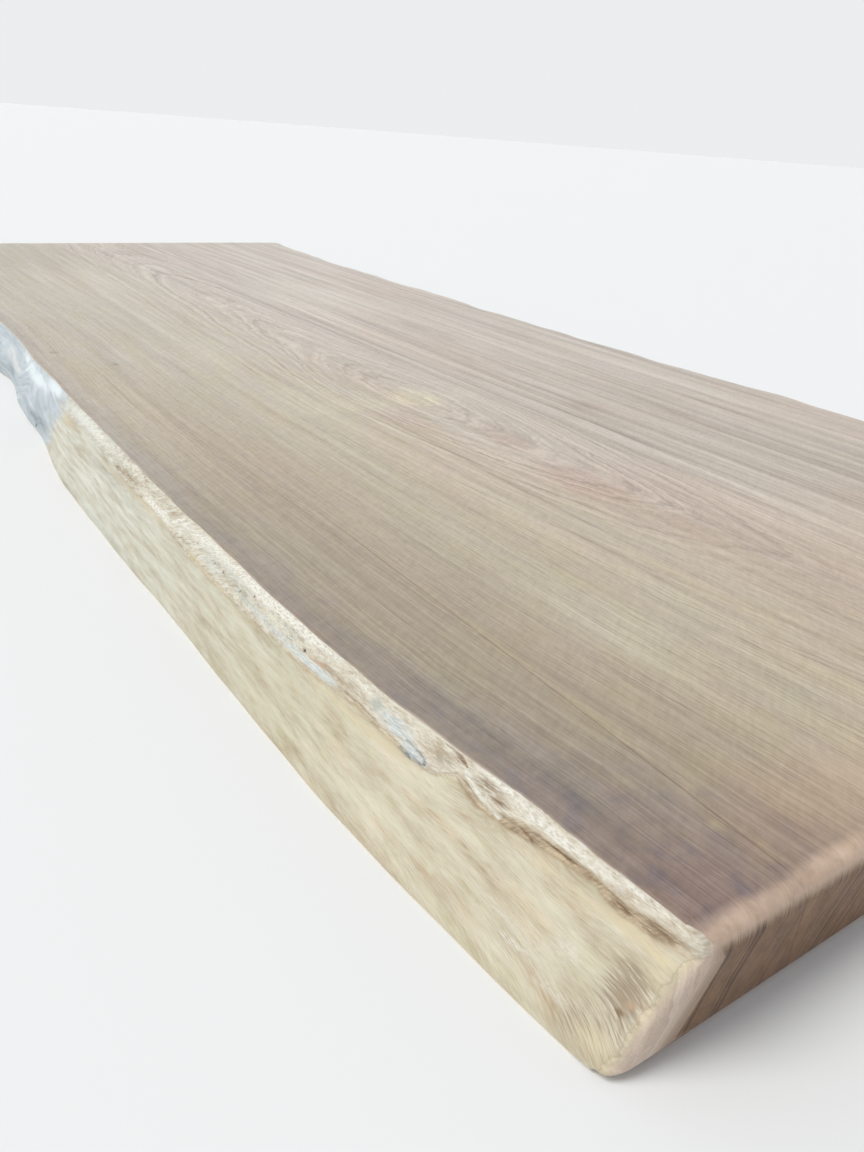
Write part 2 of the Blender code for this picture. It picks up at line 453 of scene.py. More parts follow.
def at_a_hole(face):
    """True on the front faces that touch the ground round a beetle hole."""
    if not on_front(face):
        return False
    from_end, depth = high.x - face.center.x, high.z - face.center.z
    return any(
        math.hypot(from_end - hole_s, depth - hole_d) < HOLE_CLEARING
        for hole_s, hole_d, _ in BEETLE_HOLES
    )


for _ in range(2):
    print("cut at the holes:", cut_faces(plank, at_a_hole, False))

# %% [markdown]
# ## Random lumps that stay put
# Ragged wood needs noise that is the same at every run. A table of random heights from a seeded
# generator is read between its entries with a smooth step, so a lump has the size of one unit of
# the coordinates: dividing them by 10 mm and 2 mm gives streaks that long and that wide.

# %% Lumps
TABLE = 256
heights = np.random.default_rng(11).random((TABLE, TABLE))


def smooth(value, start, end):
    """Rises from 0 at start to 1 at end."""
    t = np.clip((value - start) / (end - start), 0.0, 1.0)
    return t * t * (3.0 - 2.0 * t)


def lumps(u, v=0.0, seed=0):
    """Smooth random height between -1 and 1, with one lump for each unit of u and of v."""
    u = np.asarray(u, float) + 17.31 * seed
    v = np.asarray(v, float) + 41.7 * seed
    u, v = np.broadcast_arrays(u, v)
    left, below = np.floor(u).astype(int), np.floor(v).astype(int)
    a, b = smooth(u - left, 0.0, 1.0), smooth(v - below, 0.0, 1.0)
    rows, columns = left % TABLE, below % TABLE
    more_rows, more_columns = (left + 1) % TABLE, (below + 1) % TABLE
    near = heights[rows, columns] * (1 - a) + heights[more_rows, columns] * a
    far = heights[rows, more_columns] * (1 - a) + heights[more_rows, more_columns] * a
    return 2.0 * (near * (1 - b) + far * b) - 1.0


def rough(u, v, seed=0, octaves=3):
    """Lumps with smaller lumps on them."""
    total = 0.0
    for octave in range(octaves):
        total = total + lumps(u * 2**octave, v * 2**octave, seed + octave) / 2**octave
    return total / 1.6


def spot(s, d, at, half):
    """1 at a place, fading to 0 at a distance of two half sizes, as an ellipse."""
    reach = ((s - at[0]) / half[0]) ** 2 + ((d - at[1]) / half[1]) ** 2
    return np.exp(-reach)


def near_line(s, d, line, half_width):
    """1 on a line of places along the edge, fading over its half width."""
    nearest = np.full(np.shape(s), np.inf)
    for (s0, d0), (s1, d1) in zip(line, line[1:]):
        run = (s1 - s0) ** 2 + (d1 - d0) ** 2
        t = np.clip(((s - s0) * (s1 - s0) + (d - d0) * (d1 - d0)) / run, 0.0, 1.0)
        nearest = np.minimum(nearest, np.hypot(s - s0 - t * (s1 - s0), d - d0 - t * (d1 - d0)))
    return np.exp(-((nearest / half_width) ** 2))


# %% [markdown]
# ## Where each point lies
# All the relief and all the stains are worked out from two numbers for each point, in
# millimetres: s, its distance from the near end, and d, its depth below the top. A third, gap,
# is how far it lies below the crevice. The crevice wanders a little, as torn bark does.

# %% Places in millimetres
MM = 1000.0

points = positions(plank)
normals = np.empty(3 * len(points))
plank.data.vertices.foreach_get("normal", normals)
normals = normals.reshape(-1, 3)
from_near = high.x - points[:, 0]
s = MM * from_near
d = MM * (high.z - points[:, 2])
near_or_far = smooth(s, 1.0, 11.0) * smooth(MM * length - s, 0.5, 5.0)


def edge_weight(side):
    """1 on the face of one live edge, fading to 0 at its top corner, its foot and its ends."""
    beyond = MM * side * (points[:, 1] - edge_value(side, "corner", from_near))
    on_face = smooth(beyond, -1.5, 0.2) * smooth(-normals[:, 2], -0.985, -0.9)
    return on_face * smooth(d, -0.2, 2.0) * (1.0 - smooth(d, 59.0, 64.0)) * near_or_far


def crevice_gap(side):
    """Millimetres below the ragged crevice line of one edge; less than zero in the strip above."""
    torn = 0.35 * lumps(s / 14.0, seed=3 + side) + 0.2 * lumps(s / 4.5, seed=6 + side)
    return MM * (edge_value(side, "crevice", from_near) - points[:, 2]) + torn


weight = {side: edge_weight(side) for side in (FRONT, BACK)}
gap = {side: crevice_gap(side) for side in (FRONT, BACK)}
print("points on the front edge:", int((weight[FRONT] > 0.5).sum()),
      "on the back edge:", int((weight[BACK] > 0.5).sum()))

# %% [markdown]
# ## The crevice and the strip above it
# The solid has the crevice as a soft groove. Close to, it is a band with a crisp lower border: the
# brushed face ends there, and the groove lies just above it, tan and hatched. Over the groove
# stands a lip, and above the lip lies a strip of rough streaks, the last of the layer under the
# bark. How strong and how wide the groove is changes along the edge.

# %% Torn crevice
FRONT_CUT = (
    (0, 0.2), (20, 0.9), (60, 1.0), (100, 1.0), (135, 1.0), (170, 0.7), (190, 0.35), (245, 0.5),
    (300, 0.5), (440, 0.3), (520, 0.5), (620, 0.6), (680, 0.35), (800, 0.45), (950, 0.25),
    (1080, 0.0), (1850, 0.0), (2050, 0.8), (2500, 0.8), (2600, 0.3),
)
BACK_CUT = (
    (0, 0.3), (60, 0.9), (550, 0.8), (800, 0.3), (1250, 0.2), (1500, 0.9), (2150, 0.9),
    (2600, 0.3),
)
FRONT_BAND = (
    (0, 3.0), (15, 4.4), (35, 5.4), (55, 5.0), (72, 3.2), (90, 3.8), (110, 4.6), (132, 5.0),
    (150, 2.4), (170, 2.8), (192, 1.4), (240, 1.2), (300, 2.6), (322, 1.0), (500, 1.0), (555, 2.6),
    (600, 2.4), (640, 1.0), (1100, 1.0), (1900, 1.0), (2100, 2.6), (2600, 2.0),
)
BACK_BAND = ((0, 2.0), (60, 3.0), (600, 2.6), (800, 1.2), (1300, 1.0), (1500, 2.8), (2600, 2.2))
CUT_DEPTH = 1.3
LIP_HEIGHT = 0.45


def along_curve(curve, value):
    places, amounts = np.array(curve).T
    return np.interp(value, places, amounts)


cut = {FRONT: along_curve(FRONT_CUT, s), BACK: along_curve(BACK_CUT, s)}
band = {FRONT: along_curve(FRONT_BAND, s), BACK: along_curve(BACK_BAND, s)}

# %% [markdown]
# ## Streaks that lean
# The streaks of the strip run along the edge at first and lean further on, and on the burl they
# swing up and down. Adding up a slope along the edge gives one number, lean, that stays the same
# along a streak.

# %% Lean of the streaks
STREAK_SLOPE = (
    (0, 0.0), (440, 0.0), (500, 0.25), (600, 0.40), (640, 0.30), (690, 0.10), (860, 0.10),
    (900, 0.35), (1060, 0.35), (1095, -0.10), (1130, -0.20), (1250, -0.22), (1290, 0.30),
    (1340, 0.38), (1365, -0.10), (1480, -0.12), (1620, 0.20), (1760, 0.0), (2600, 0.0),
)
LONG_SWING, SHORT_SWING = 2.2, 0.9
steps = np.arange(0.0, MM * length + 1.0)
rises = np.concatenate([[0.0], np.cumsum(along_curve(STREAK_SLOPE, steps))[:-1]])
swing = LONG_SWING * lumps(s / 70.0, d / 26.0, seed=15)
swing = swing + SHORT_SWING * lumps(s / 26.0, d / 11.0, seed=16)
lean = d - np.interp(s, steps, rises) + swing * (0.15 + 0.85 * smooth(s, 1000.0, 1120.0))
print("the streaks lean by", round(float(rises.max()), 1), "mm in all")


# %% Groove, lip and streaks
STREAK_HEIGHTS = (0.42, 0.20)
BREAK_DEPTH = 0.30
HATCH_HEIGHT = 0.22
CALMER_AFTER = (780.0, 940.0)


def torn_relief(side):
    """Height in millimetres of the groove, the lip over it and the streaks of the strip."""
    g = gap[side] / band[side]
    groove = -CUT_DEPTH * np.exp(-(((g + 0.45) / 0.5) ** 2))
    lip = LIP_HEIGHT * np.exp(-(((g + 1.5) / 0.55) ** 2))
    in_strip = 1.0 - smooth(gap[side] + band[side], -1.2, 0.4)
    seed = 20 + side
    streaks = STREAK_HEIGHTS[0] * rough(s / 15.0, lean / 1.9, seed)
    streaks = streaks + STREAK_HEIGHTS[1] * rough(s / 7.0, lean / 0.9, seed + 5)
    broken = BREAK_DEPTH * np.abs(lumps(s / 7.0, lean / 1.5, seed + 9))
    hatch = HATCH_HEIGHT * lumps((s - 1.4 * d) / 1.3, (d + 0.4 * s) / 5.0, seed + 12) * (1.0 - in_strip)
    hatch = hatch * smooth(-gap[side], -0.2, 0.8)
    in_strip = in_strip * (1.0 - 0.5 * smooth(s, *CALMER_AFTER))
    return cut[side] * (groove + lip + hatch) + in_strip * (streaks - broken * (0.4 + 0.6 * cut[side]))


relief = {side: torn_relief(side) for side in (FRONT, BACK)}
print("deepest cut:", round(float(relief[FRONT].min()), 2), "mm")

# %% [markdown]
# ## The pockets
# Two lens-shaped pockets lie in the strip near the end, where bark was once grown in. The first
# has a smooth white lip that sweeps up to the right, with a hatched hollow over it. The second is
# a smooth hollow under a fine dark line, with a tongue of blue-grey wood at its foot.

# %% Pockets
LIP_LINE = ((143, 15.3), (151, 14.8), (159, 13.8), (166, 12.2), (172, 10.2), (177, 8.0), (180, 6.2))
LIP_CROWN = ((163, 12.4), (170, 10.4), (176, 8.0), (179, 6.6))
POCKET_LINE = ((181, 4.6), (188, 2.6), (196, 2.0), (205, 2.6))
POCKET_FLOOR = ((185, 13.6), (195, 16.2), (205, 17.6), (214, 18.2))
TONGUE_LINE = ((211, 16.7), (222, 16.4), (234, 14.0), (246, 12.2), (257, 11.0))
TONGUE_EDGE = (
    (234, 13.8), (221, 14.4), (212, 15.2), (209.4, 16.8), (212, 18.2), (222, 18.9), (236, 18.3),
)
FIRST_DEPTH, SECOND_DEPTH, LINE_DEPTH = 1.0, 0.7, 0.5
LIP_RAISE, UNDER_LIP_DEPTH = 1.0, 0.7
TONGUE_RAISE, TONGUE_EDGE_DEPTH = 0.8, 0.35
CONVERGING_HEIGHT = 0.16

first_lip = np.maximum(near_line(s, d, LIP_LINE, 1.6), near_line(s, d, LIP_CROWN, 2.3))
under_lip = near_line(s, d - 2.9, LIP_LINE, 1.1)
first_pocket = spot(s, d, (160.0, 7.0), (17.0, 3.2)) * (1.0 - first_lip)
second_pocket = spot(s, d, (212.0, 9.5), (27.0, 5.0))
pocket_line = np.maximum(near_line(s, d, POCKET_LINE, 0.8), 0.6 * near_line(s, d, POCKET_FLOOR, 0.5))
tongue = near_line(s, d, TONGUE_LINE, 1.7)
tongue_edge = near_line(s, d, TONGUE_EDGE, 0.75)
hatching = lumps((s + 1.6 * d) / 2.2, (d - 0.2 * s) / 6.0, seed=31)
converging = np.sin(2.0 * math.pi * (d - 7.0) / (0.9 + 0.055 * np.abs(s - 183.0)))
relief[FRONT] += first_pocket * (0.4 * hatching - FIRST_DEPTH)
relief[FRONT] += LIP_RAISE * first_lip - UNDER_LIP_DEPTH * under_lip
relief[FRONT] += -SECOND_DEPTH * second_pocket - LINE_DEPTH * pocket_line
relief[FRONT] += TONGUE_RAISE * tongue - TONGUE_EDGE_DEPTH * tongue_edge
relief[FRONT] += CONVERGING_HEIGHT * converging * spot(s, d, (193.0, 6.5), (9.0, 4.0))
print("points in the pockets:", int((first_pocket + second_pocket > 0.5).sum()))

# %% [markdown]
# ## Rungs, curls and beetle holes
# Between 0.6 and 0.8 m a few pale ridges cross the strip slantwise, like rungs, and one curls up
# from the crevice. One more follows at 0.91 m. The beetle holes are pushed straight in.

# %% Rungs and holes
RUNGS = (
    ((616, 3), (626, 8)), ((630, 4), (645, 11)), ((655, 3.5), (664, 8), (676, 12.5)),
    ((690, 3), (700, 8)), ((712, 2), (724, 6.5)), ((748, 3), (758, 7)), ((770, 4), (779, 9)),
    ((905, 2), (920, 8)),
)
CURL = ((600, 22.0), (610, 20.5), (617, 17.5), (621, 14.5), (626, 12.5))
RUNG_WIDTH = 1.2
RUNG_HEIGHT = 0.35
HOLE_DEPTH = 2.2

rungs = np.max([near_line(s, d, line, RUNG_WIDTH) for line in (*RUNGS, CURL)], axis=0)
relief[FRONT] += RUNG_HEIGHT * rungs
holes = np.zeros(len(points))
for hole_s, hole_d, radius in BEETLE_HOLES:
    distance = np.hypot(s - MM * hole_s, d - MM * hole_d)
    holes = np.maximum(holes, 1.0 - smooth(distance, 0.55 * MM * radius, 1.15 * MM * radius))
relief[FRONT] -= HOLE_DEPTH * holes
print("points pushed into holes:", int((holes > 0.5).sum()))

# %% [markdown]
# ## Fibres of the sapwood
# Below the crevice the face was brushed clean. Its fibres run along the edge at the top and lean
# down towards the near end, the more so the deeper they lie. One number for each point, the flow,
# is the same all along a fibre, so noise read across it makes fibres.

# %% Fibre flow
FAN_LENGTH = 120.0
FAN_SLOPE = 0.45
LEAST_SLOPE = 0.12
BROAD_HEIGHT, MIDDLE_HEIGHT, FINE_HEIGHT = 0.34, 0.16, 0.13


def fibre_flow(amount):
    """Millimetres across the fibres, for fibres that fan towards the near end."""
    fan = FAN_SLOPE * FAN_LENGTH * (1.0 - np.exp(-s / FAN_LENGTH))
    fan = fan + LEAST_SLOPE * np.minimum(s, 900.0)
    wander = 1.6 * lumps(s / 60.0, d / 26.0, seed=41) + 0.5 * lumps(s / 22.0, d / 9.0, seed=42)
    return d + amount * fan * smooth(d, 8.0, 62.0) + wander


flow = np.where(points[:, 1] < 0.0, fibre_flow(1.0), fibre_flow(0.3))
for side in (FRONT, BACK):
    below = smooth(gap[side], 0.5, 4.0)
    broad = BROAD_HEIGHT * rough(s / 55.0, d / 17.0, 50 + side)
    middling = MIDDLE_HEIGHT * rough(s / 18.0, flow / 5.0, 53 + side)
    fine = FINE_HEIGHT * lumps(s / 15.0, flow / 1.6, 56 + side)
    relief[side] += below * (broad + middling + fine)
print("flow across the front face:", np.round(flow[weight[FRONT] > 0.5].max(), 1), "mm at most")

# %% [markdown]
# ## Scar and burl
# The scar is a shallow dimple with a small pit. The burl, past one metre, is weathered wood with
# lobes: the solid has the lobes, and here they get long swinging ripples, a white fold and a
# tear-shaped patch. Ridges come from the absolute value of noise, which has sharp valleys.

# %% Scar and burl
BURL = (1035.0, 1185.0, 1790.0, 1900.0)
SCAR_PLACE = (21.0, 35.0)
FOLD_LINE = ((1303, 14), (1318, 21), (1333, 29), (1346, 33.5))
TEAR_LINE = ((1352, 34), (1380, 31), (1410, 28), (1440, 25), (1468, 22))
PIT_DEPTH = 0.7
SCAR_DEPTH, SCAR_STREAKS = 0.35, 0.30
BURL_LOBES, BURL_WRINKLES = 0.55, 0.22
TEAR_RAISE, FOLD_RAISE = 0.9, 0.8

scar = spot(s, d, SCAR_PLACE, (14.0, 12.0)) * weight[FRONT]
pit = spot(s, d, (10.5, 38.0), (2.6, 2.2)) + 0.6 * spot(s, d, (17.5, 39.8), (3.4, 1.1))
dimple = SCAR_STREAKS * lumps(s / 12.0, flow / 2.1, seed=61) - SCAR_DEPTH
relief[FRONT] += -PIT_DEPTH * pit + scar * dimple
burl_start = s + 12.0 * lumps(lean / 5.0, 0.0, seed=62) + 10.0 * lumps(s / 30.0, d / 9.0, seed=63)
burl_start = burl_start + 0.5 * d
burl = smooth(burl_start, *BURL[:2]) * (1.0 - smooth(s, *BURL[2:]))
burl = burl * (points[:, 1] < 0.0)
tear = near_line(s, d, TEAR_LINE, 6.5)
fold = near_line(s, d, FOLD_LINE, 3.4)
wrinkles = 1.0 - 2.0 * np.abs(lumps(s / 34.0, lean / 5.5, seed=64))
wrinkles = wrinkles + 0.5 * (1.0 - 2.0 * np.abs(lumps(s / 18.0, lean / 2.6, seed=65)))
relief[FRONT] += burl * (BURL_LOBES * rough(s / 40.0, lean / 12.0, 66) + BURL_WRINKLES * wrinkles)
relief[FRONT] += burl * (TEAR_RAISE * tear + FOLD_RAISE * fold)
print("burl covers", int((burl * weight[FRONT] > 0.5).sum()), "points")

# %% [markdown]
# ## Moving the points
# Each point of an edge moves along its own normal by the height found for it. The top corner of
# each edge is also nicked a little sideways, so its line is not ruler straight. Beside the near
# end the foot rises a little from the floor, which leads it softly into the round of the corner.

# %% Relief into the mesh
NICK = 0.35
NICK_REACH = 1.3
FOOT_LIFT = 1.9


def move_points(piece, moved):
    piece.data.vertices.foreach_set("co", moved.ravel())
    piece.data.update()


moved = points.copy()
for side in (FRONT, BACK):
    moved += (weight[side] * relief[side] / MM)[:, None] * normals
    off_corner = MM * (points[:, 1] - edge_value(side, "corner", from_near))
    at_corner = np.exp(-((off_corner / NICK_REACH) ** 2)) * (1.0 - smooth(d, 1.5, 3.5)) * near_or_far
    nick = lumps(s / 9.0, seed=70 + side) + 0.6 * lumps(s / 3.3, seed=73 + side) - 0.4
    moved[:, 1] += side * at_corner * NICK * nick / MM
    inside_foot = MM * side * (edge_value(side, "foot", from_near) - points[:, 1])
    low_down = smooth(MM * points[:, 2], 5.0, 0.5) * smooth(inside_foot, 24.0, 5.0)
    low_down = low_down * (side * points[:, 1] > 0.0)
    moved[:, 2] += low_down * FOOT_LIFT * smooth(s, 32.0, 11.0) * smooth(s, 7.0, 11.0) / MM
move_points(plank, moved)
print("largest move:", round(MM * float(np.abs(moved - points).max()), 2), "mm")

# %% [markdown]
# ## Stains as numbers on the points
# Each kind of stain is painted once, as a number between 0 and 1 on every point, from soft spots
# at their places on the edge. Not all of it is stain: part of the brown is painted shade in the
# crevice, the first pocket and the pit, and the long grey and tan rows along the foot are painted
# shade where the face turns under. Each row gives a spot's s and d, its two half sizes in
# millimetres and its strength. The material later breaks the borders up with noise along the
# fibres, so that what is painted at the size of a face still looks sharp.

# %% Brown, rust and tan
# Partly painted shade: the rows along the crevice in the first 180 mm, round the first pocket and in
# the pit darken those hollows; the rest are brown stains.
BROWN_AND_SHADE_SPOTS = (
    (35, 7.6, 11, 1.8, 0.5), (53, 12.2, 9, 1.4, 0.9), (92, 10.9, 10, 1.1, 0.9),
    (121, 13.9, 11, 1.6, 1.0), (104, 10.6, 8, 1.3, 0.6), (75, 11.0, 9, 1.0, 0.5),
    (149, 9.4, 10, 1.7, 0.9), (36, 12.6, 14, 1.1, 0.7), (24, 10.6, 12, 1.3, 0.45),
    (166, 7.0, 8, 2.2, 0.7), (157, 4.6, 11, 1.6, 0.5), (188, 4.0, 8, 1.8, 0.6),
    (42, 9.6, 12, 1.2, 0.35), (22, 9.2, 11, 2.2, 0.4), (176, 12.4, 7, 1.6, 0.6),
    (458, 8.6, 3, 0.7, 0.8), (473, 12.6, 10, 0.8, 0.8), (494, 12.2, 7, 0.8, 0.6),
    (519, 12.0, 5, 0.8, 0.6), (535, 10.2, 4, 0.8, 0.5), (366, 12.0, 4, 1.1, 0.8),
    (782, 12.5, 22, 2.4, 0.6), (825, 14.5, 22, 2.2, 0.8), (596, 17.0, 8, 3.6, 0.4),
    (612, 21.6, 9, 1.2, 0.6), (575, 22.6, 15, 1.0, 0.6), (17.5, 39.8, 3.4, 1.3, 1.3),
    (85, 56.0, 8, 3.0, 0.35), (87, 22.0, 5, 0.8, 0.5), (905, 11.0, 26, 1.4, 0.35),
)
RUST_SPOTS = (
    (341, 11.6, 8, 1.6, 1.0), (312, 12.0, 9, 2.8, 0.5), (355, 12.6, 8, 1.0, 0.7),
    (15.5, 34.6, 3.6, 1.4, 0.9), (292, 9.5, 10, 2.0, 0.4), (264, 15.8, 10, 1.2, 0.35),
)
# The long rows at 57 and 58 mm down darken the foot where the face turns under: painted shade. The rest
# are tan stains.
TAN_AND_FOOT_SHADE_SPOTS = (
    (20, 34.5, 14, 11.0, 1.0), (28, 24.5, 22, 4.0, 0.40), (80, 23.5, 30, 4.0, 0.20),
    (112, 27.0, 24, 4.0, 0.20), (137, 48.0, 15, 8.0, 0.28), (18, 57.0, 18, 6.5, 0.62),
    (34, 51.5, 8, 4.0, 0.35), (12, 5.5, 9, 3.5, 0.4), (22, 9.0, 14, 3.0, 0.6),
    (153, 6.0, 15, 2.8, 0.6), (204, 8.6, 20, 5.4, 0.70), (292, 10.0, 16, 3.6, 0.45),
    (310, 11.5, 12, 4.4, 0.42), (284, 15.4, 36, 1.5, 0.5), (334, 10.8, 15, 2.4, 0.75),
    (700, 5.5, 76, 3.8, 0.42), (650, 7.0, 22, 4.0, 0.35), (790, 12.0, 46, 3.8, 0.8),
    (604, 10.0, 15, 5.0, 0.40), (960, 11.0, 70, 3.4, 0.35), (176, 39.0, 12, 3.6, 0.40),
    (262, 58.0, 44, 5.0, 0.35), (450, 57.0, 110, 6.0, 0.35), (60, 60.0, 30, 3.0, 0.4),
    (230, 36.0, 30, 5.0, 0.2), (1040, 20.0, 30, 6.0, 0.55), (998, 19.0, 28, 5.0, 0.4),
    (805, 21.0, 40, 4.0, 0.5), (755, 19.0, 30, 3.5, 0.35),
)


def painted(spots):
    """Sum of many soft spots, each a place, its half sizes and its strength."""
    total = sum(row[4] * spot(s, d, row[0:2], row[2:4]) for row in spots)
    return np.clip(total, 0.0, 1.0)


is_front = points[:, 1] < 0.0
brown = np.clip(painted(BROWN_AND_SHADE_SPOTS) + 0.55 * pocket_line, 0.0, 1.0) * is_front
rust = painted(RUST_SPOTS) * is_front
tan = painted(TAN_AND_FOOT_SHADE_SPOTS) * is_front
print("painted brown, rust and tan on", int((brown + rust + tan > 0.3).sum()), "points")

# %% Blue, slate and grey
BLUE_SPOTS = (
    (221, 16.7, 12, 1.9, 1.6), (240, 13.2, 15, 2.0, 0.8), (252, 9.6, 20, 4.0, 0.75),
    (346, 15.6, 26, 2.6, 0.5), (332, 16.4, 14, 2.0, 1.0), (378, 16.8, 38, 2.6, 0.6),
    (440, 15.5, 52, 3.6, 0.45), (545, 15.0, 32, 5.0, 0.45), (985, 8.0, 90, 8.0, 0.40),
    (10.8, 37.8, 3.8, 1.4, 0.55), (655, 15.0, 20, 2.2, 0.4), (7.5, 33.5, 3.4, 1.3, 0.5),
)
SLATE_SPOTS = (
    (209.5, 16.6, 1.8, 1.6, 0.6), (54, 6.6, 9, 1.3, 0.6), (247, 10.6, 10, 0.9, 0.5),
    (388, 11.0, 13, 2.2, 0.4), (420, 11.5, 22, 1.7, 0.4), (1165, 33.0, 60, 11.0, 0.40),
    (1200, 46.0, 110, 5.0, 0.55), (1235, 22.0, 54, 5.0, 0.35), (1120, 50.0, 60, 9.0, 0.45),
    (1146, 55.0, 5, 2.4, 0.9), (1415, 43.0, 36, 8.0, 0.75), (1385, 12.0, 50, 3.0, 0.35),
    (1600, 40.0, 90, 14.0, 0.4), (1330, 52.0, 120, 5.0, 0.4),
)
# The long row at 59 mm down darkens the foot where the face turns under: painted shade. The rest are
# grey stains.
GREY_AND_FOOT_SHADE_SPOTS = (
    (272, 8.0, 8, 4.2, 1.1), (345, 5.5, 18, 2.6, 0.35), (390, 9.0, 16, 4.0, 0.5),
    (500, 10.0, 46, 5.5, 0.5), (458, 14.5, 40, 3.0, 0.5), (198, 9.0, 11, 4.0, 0.4),
    (560, 9.0, 30, 6.0, 0.4), (820, 25.0, 170, 4.0, 0.45), (800, 59.0, 220, 4.0, 0.55),
    (380, 27.0, 90, 4.0, 0.30),
)
blue = np.clip(painted(BLUE_SPOTS) + 0.10 * first_lip, 0.0, 1.0) * is_front
slate = np.clip(painted(SLATE_SPOTS) + 0.9 * tongue_edge, 0.0, 1.0) * is_front
grey = painted(GREY_AND_FOOT_SHADE_SPOTS) * is_front
print("painted blue, slate and grey on", int((blue + slate + grey > 0.3).sum()), "points")

# %% White and yellow
WHITE_SPOTS = (
    (108, 5.0, 46, 2.8, 0.8), (155, 2.0, 22, 1.3, 0.8), (46, 2.4, 30, 1.5, 0.6),
    (290, 4.6, 12, 1.8, 0.8), (256, 13.6, 14, 0.9, 0.7), (400, 3.6, 70, 2.6, 0.6),
    (560, 6.0, 46, 4.6, 1.1), (460, 4.6, 62, 3.8, 0.9), (690, 14.6, 40, 3.0, 1.4),
    (88, 45.8, 12, 1.0, 0.55), (70, 42.0, 40, 12.0, 0.34), (120, 46.0, 5, 9.0, 0.2),
    (360, 2.4, 30, 1.2, 0.5), (56, 33.0, 14, 4.0, 0.25), (104, 40.0, 16, 1.2, 0.35),
    (50, 50.0, 16, 2.0, 0.3), (950, 6.5, 120, 5.0, 0.7), (1000, 8.0, 60, 8.0, 0.25),
    (244, 11.0, 18, 2.6, 0.6), (622, 8.0, 24, 5.0, 0.45), (1215, 39.5, 38, 2.4, 0.9),
    (1140, 8.0, 36, 6.0, 0.9), (1290, 4.0, 90, 3.0, 0.6), (1150, 52.0, 10, 2.0, 0.5),
    (870, 38.0, 150, 7.0, 0.45), (372, 3.4, 50, 2.8, 0.3),
)
YELLOW_SPOTS = (
    (575, 21.6, 24, 1.6, 0.9), (850, 20.4, 170, 1.6, 0.4), (1050, 20.0, 56, 6.0, 0.5),
    (40, 15.4, 34, 2.0, 0.7), (240, 21.0, 60, 1.8, 0.45), (700, 19.4, 60, 1.2, 0.5),
    (14, 20.0, 9, 6.0, 0.5), (95, 16.8, 40, 1.4, 0.5), (252, 19.2, 26, 2.0, 0.5),
    (302, 20.4, 30, 1.7, 0.5), (345, 20.6, 24, 2.0, 0.35), (515, 22.6, 30, 2.4, 0.5),
    (18, 54.0, 18, 7.0, 0.65),
)
white = painted(WHITE_SPOTS) + 0.75 * rungs + 0.8 * first_lip
white = np.clip(white, 0.0, 1.0) * is_front
pale_fold = np.clip(1.1 * burl * fold, 0.0, 1.0)
cream = np.clip(0.75 * burl * tear, 0.0, 1.0)
FROST_SPOTS = (
    (1140, 6.0, 44, 8.0, 0.95), (1235, 15.0, 84, 10.0, 0.85), (1330, 8.0, 70, 7.0, 0.6),
    (1210, 39.5, 40, 2.6, 0.6), (1480, 20.0, 60, 9.0, 0.5), (1640, 14.0, 80, 8.0, 0.6),
)
frost = painted(FROST_SPOTS) * burl
yellow = painted(YELLOW_SPOTS) * is_front
SCAR_SPOTS = ((20, 34.0, 14, 12.0, 1.6), (20, 54.0, 18, 8.0, 1.0), (34, 50.0, 10, 6.0, 0.5))
streaked = painted(SCAR_SPOTS) * is_front
print("painted white and yellow on", int((white + yellow > 0.3).sum()), "points")

# %% [markdown]
# ## Lines that the top needs
# The top and the ends have few points, so a stain painted on them would be a blur. What changes
# only along the board is still exact there. So each point also carries where the corner and the
# foot of both edges are at its distance from the near end, and three numbers for the growth
# rings: where the middle of the tree lay, how far the rings swell, and how the edge bends. The
# flame line gives half the width of the flame that closes at each place. The middle of the tree
# lay 195 mm below the board: the ring lines on the near end lean by as much as that makes them.

# %% Numbers along the board
PITH_LINE = ((0.0, -0.040), (0.32, -0.045), (0.95, -0.063), (1.5, -0.050), (2.06, -0.026), (2.6, 0.0))
FLAME_LINE = (
    (0.0, 0.166), (0.32, 0.112), (0.52, 0.082), (0.76, 0.048), (0.92, 0.0), (1.09, 0.048),
    (1.25, 0.078), (1.55, 0.094), (1.85, 0.105), (2.10, 0.116), (2.6, 0.146),
)
PITH_DEPTH = 0.195


def smooth_line(line, where):
    """Reads a line of points at any place, rounded off by a running average."""
    places, values = np.array(line).T
    fine = np.linspace(places[0], places[-1], 521)
    window = np.hanning(61)
    padded = np.pad(np.interp(fine, places, values), 30, mode="edge")
    return np.interp(where, fine, np.convolve(padded, window / window.sum(), mode="valid"))


corner_lines = np.stack([edge_value(side, "corner", from_near) for side in (FRONT, BACK)], axis=1)
foot_lines = np.stack([edge_value(side, "foot", from_near) for side in (FRONT, BACK)], axis=1)
bend = -edge_value(FRONT, "corner", from_near) - 0.5
flame_half = smooth_line(FLAME_LINE, from_near)
swelling = np.hypot(flame_half, PITH_DEPTH + thickness) - PITH_DEPTH - thickness
ring_lines = np.stack([smooth_line(PITH_LINE, from_near), swelling, bend], axis=1)
print("rings swell by", round(MM * float(swelling.max()), 1), "mm at most")


# %% Numbers stored on the mesh
def store(piece, name, values):
    """Keeps one number, or three, for each point of a piece."""
    values = np.asarray(values, float)
    if values.ndim == 1:
        layer = piece.data.attributes.new(name, "FLOAT", "POINT")
        layer.data.foreach_set("value", values.astype(np.float32))
    else:
        filled = np.zeros((len(values), 3), np.float32)
        filled[:, : values.shape[1]] = values
        layer = piece.data.attributes.new(name, "FLOAT_VECTOR", "POINT")
        layer.data.foreach_set("vector", filled.ravel())


